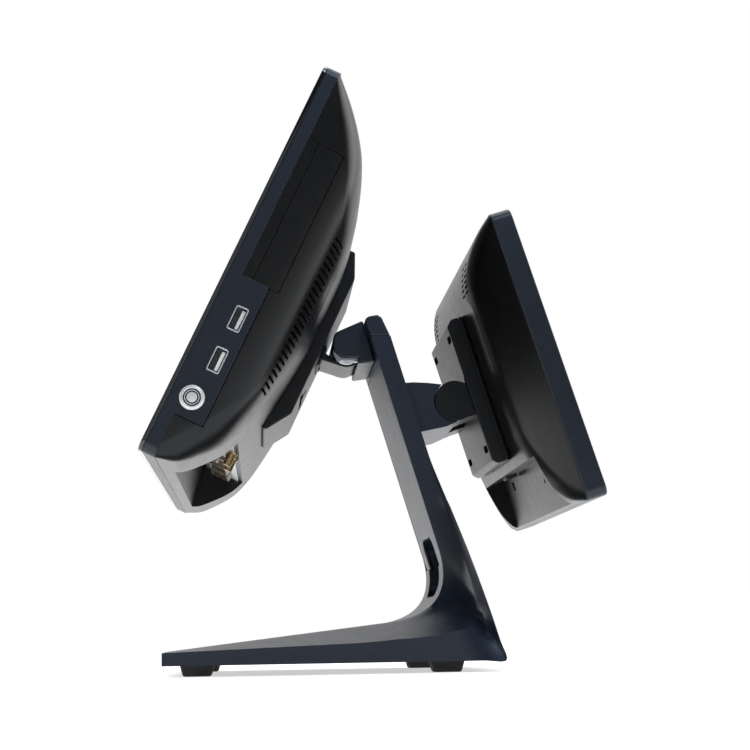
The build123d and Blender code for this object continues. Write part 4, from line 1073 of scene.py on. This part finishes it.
# ---------------------------------------------------------------- floor, light and camera
def floor_material():
    mat, tree, shader = start("floor")
    cloud = noise(tree, 3, 3.0)
    tone = blend(tree, spread(tree, cloud, 0.3, 0.7, 0, 1), (0.90, 0.90, 0.90), (0.93, 0.93, 0.93))
    tree.links.new(tone, shader.inputs["Base Color"])
    shader.inputs["Roughness"].default_value = 0.7
    shader.inputs["Emission Color"].default_value = (1, 1, 1, 1)
    shader.inputs["Emission Strength"].default_value = 0.55
    return mat


bm = bmesh.new()
bmesh.ops.create_grid(bm, x_segments=24, y_segments=24, size=9000)
floor = thing("floor", bm)
floor.data.materials.append(floor_material())

world = bpy.data.worlds.new("studio")
scene.world = world
world.use_nodes = True
tree = world.node_tree
tree.nodes.clear()
output = tree.nodes.new("ShaderNodeOutputWorld")
room = tree.nodes.new("ShaderNodeBackground")
seen = tree.nodes.new("ShaderNodeBackground")
seen.inputs["Color"].default_value = (1, 1, 1, 1)
seen.inputs["Strength"].default_value = 1.0
coords = tree.nodes.new("ShaderNodeTexCoord")
axes = tree.nodes.new("ShaderNodeSeparateXYZ")
tree.links.new(coords.outputs["Generated"], axes.inputs[0])
tree.links.new(spread(tree, axes.outputs["X"], -0.30, 0.45, 1.15, 0.03), room.inputs["Strength"])
paths = tree.nodes.new("ShaderNodeLightPath")
choose = tree.nodes.new("ShaderNodeMixShader")
tree.links.new(paths.outputs["Is Camera Ray"], choose.inputs[0])
tree.links.new(room.outputs[0], choose.inputs[1])
tree.links.new(seen.outputs[0], choose.inputs[2])
tree.links.new(choose.outputs[0], output.inputs[0])


def soft_light(name, position, target, size, power, colour=(1, 1, 1)):
    data = bpy.data.lights.new(name, "AREA")
    data.size = size
    data.energy = power
    data.color = colour
    light = bpy.data.objects.new(name, data)
    scene.collection.objects.link(light)
    light.location = position
    light.rotation_euler = (Vector(target) - Vector(position)).to_track_quat("-Z", "Y").to_euler()


soft_light("front_card", (-0.5, -1.5, 0.5), (0, 0, 0.15), 1.4, 14)
soft_light("rear_card", (-0.4, 1.5, 0.6), (0, 0, 0.15), 1.2, 8)
soft_light("top_card", (-0.2, 0.0, 1.8), (0, 0, 0.1), 1.2, 10)
soft_light("side_card", (1.75, -0.16, 0.52), (0, 0, 0.15), 0.6, 0.55, (0.80, 0.90, 1.0))
soft_light("blue_card", (0.75, 0.35, 0.95), (0.08, 0.07, 0.05), 0.5, 5.0, (0.62, 0.80, 1.0))
soft_light("warm_card", (0.9, -0.9, 0.12), (0.1, -0.05, 0.13), 0.3, 0.35, (1.0, 0.80, 0.62))

yaw, pitch, roll = radians(4.372), radians(9.786), radians(-0.981)
forward = Vector((-cos(pitch) * cos(yaw), cos(pitch) * sin(yaw), sin(pitch)))
right0 = forward.cross(Vector((0, 0, 1))).normalized()
up0 = right0.cross(forward)
right = right0 * cos(roll) + up0 * sin(roll)
up = up0 * cos(roll) - right0 * sin(roll)
camera = bpy.data.objects.new("camera", bpy.data.cameras.new("camera"))
scene.collection.objects.link(camera)
camera.matrix_world = Matrix((
    (right.x, up.x, -forward.x, 1.0189),
    (right.y, up.y, -forward.y, -0.0440),
    (right.z, up.z, -forward.z, 0.0187),
    (0, 0, 0, 1),
))
camera.data.sensor_width = 36
camera.data.lens = 74.13
camera.data.clip_start = 0.01
camera.data.clip_end = 60
scene.camera = camera
scene.view_settings.view_transform = "Standard"
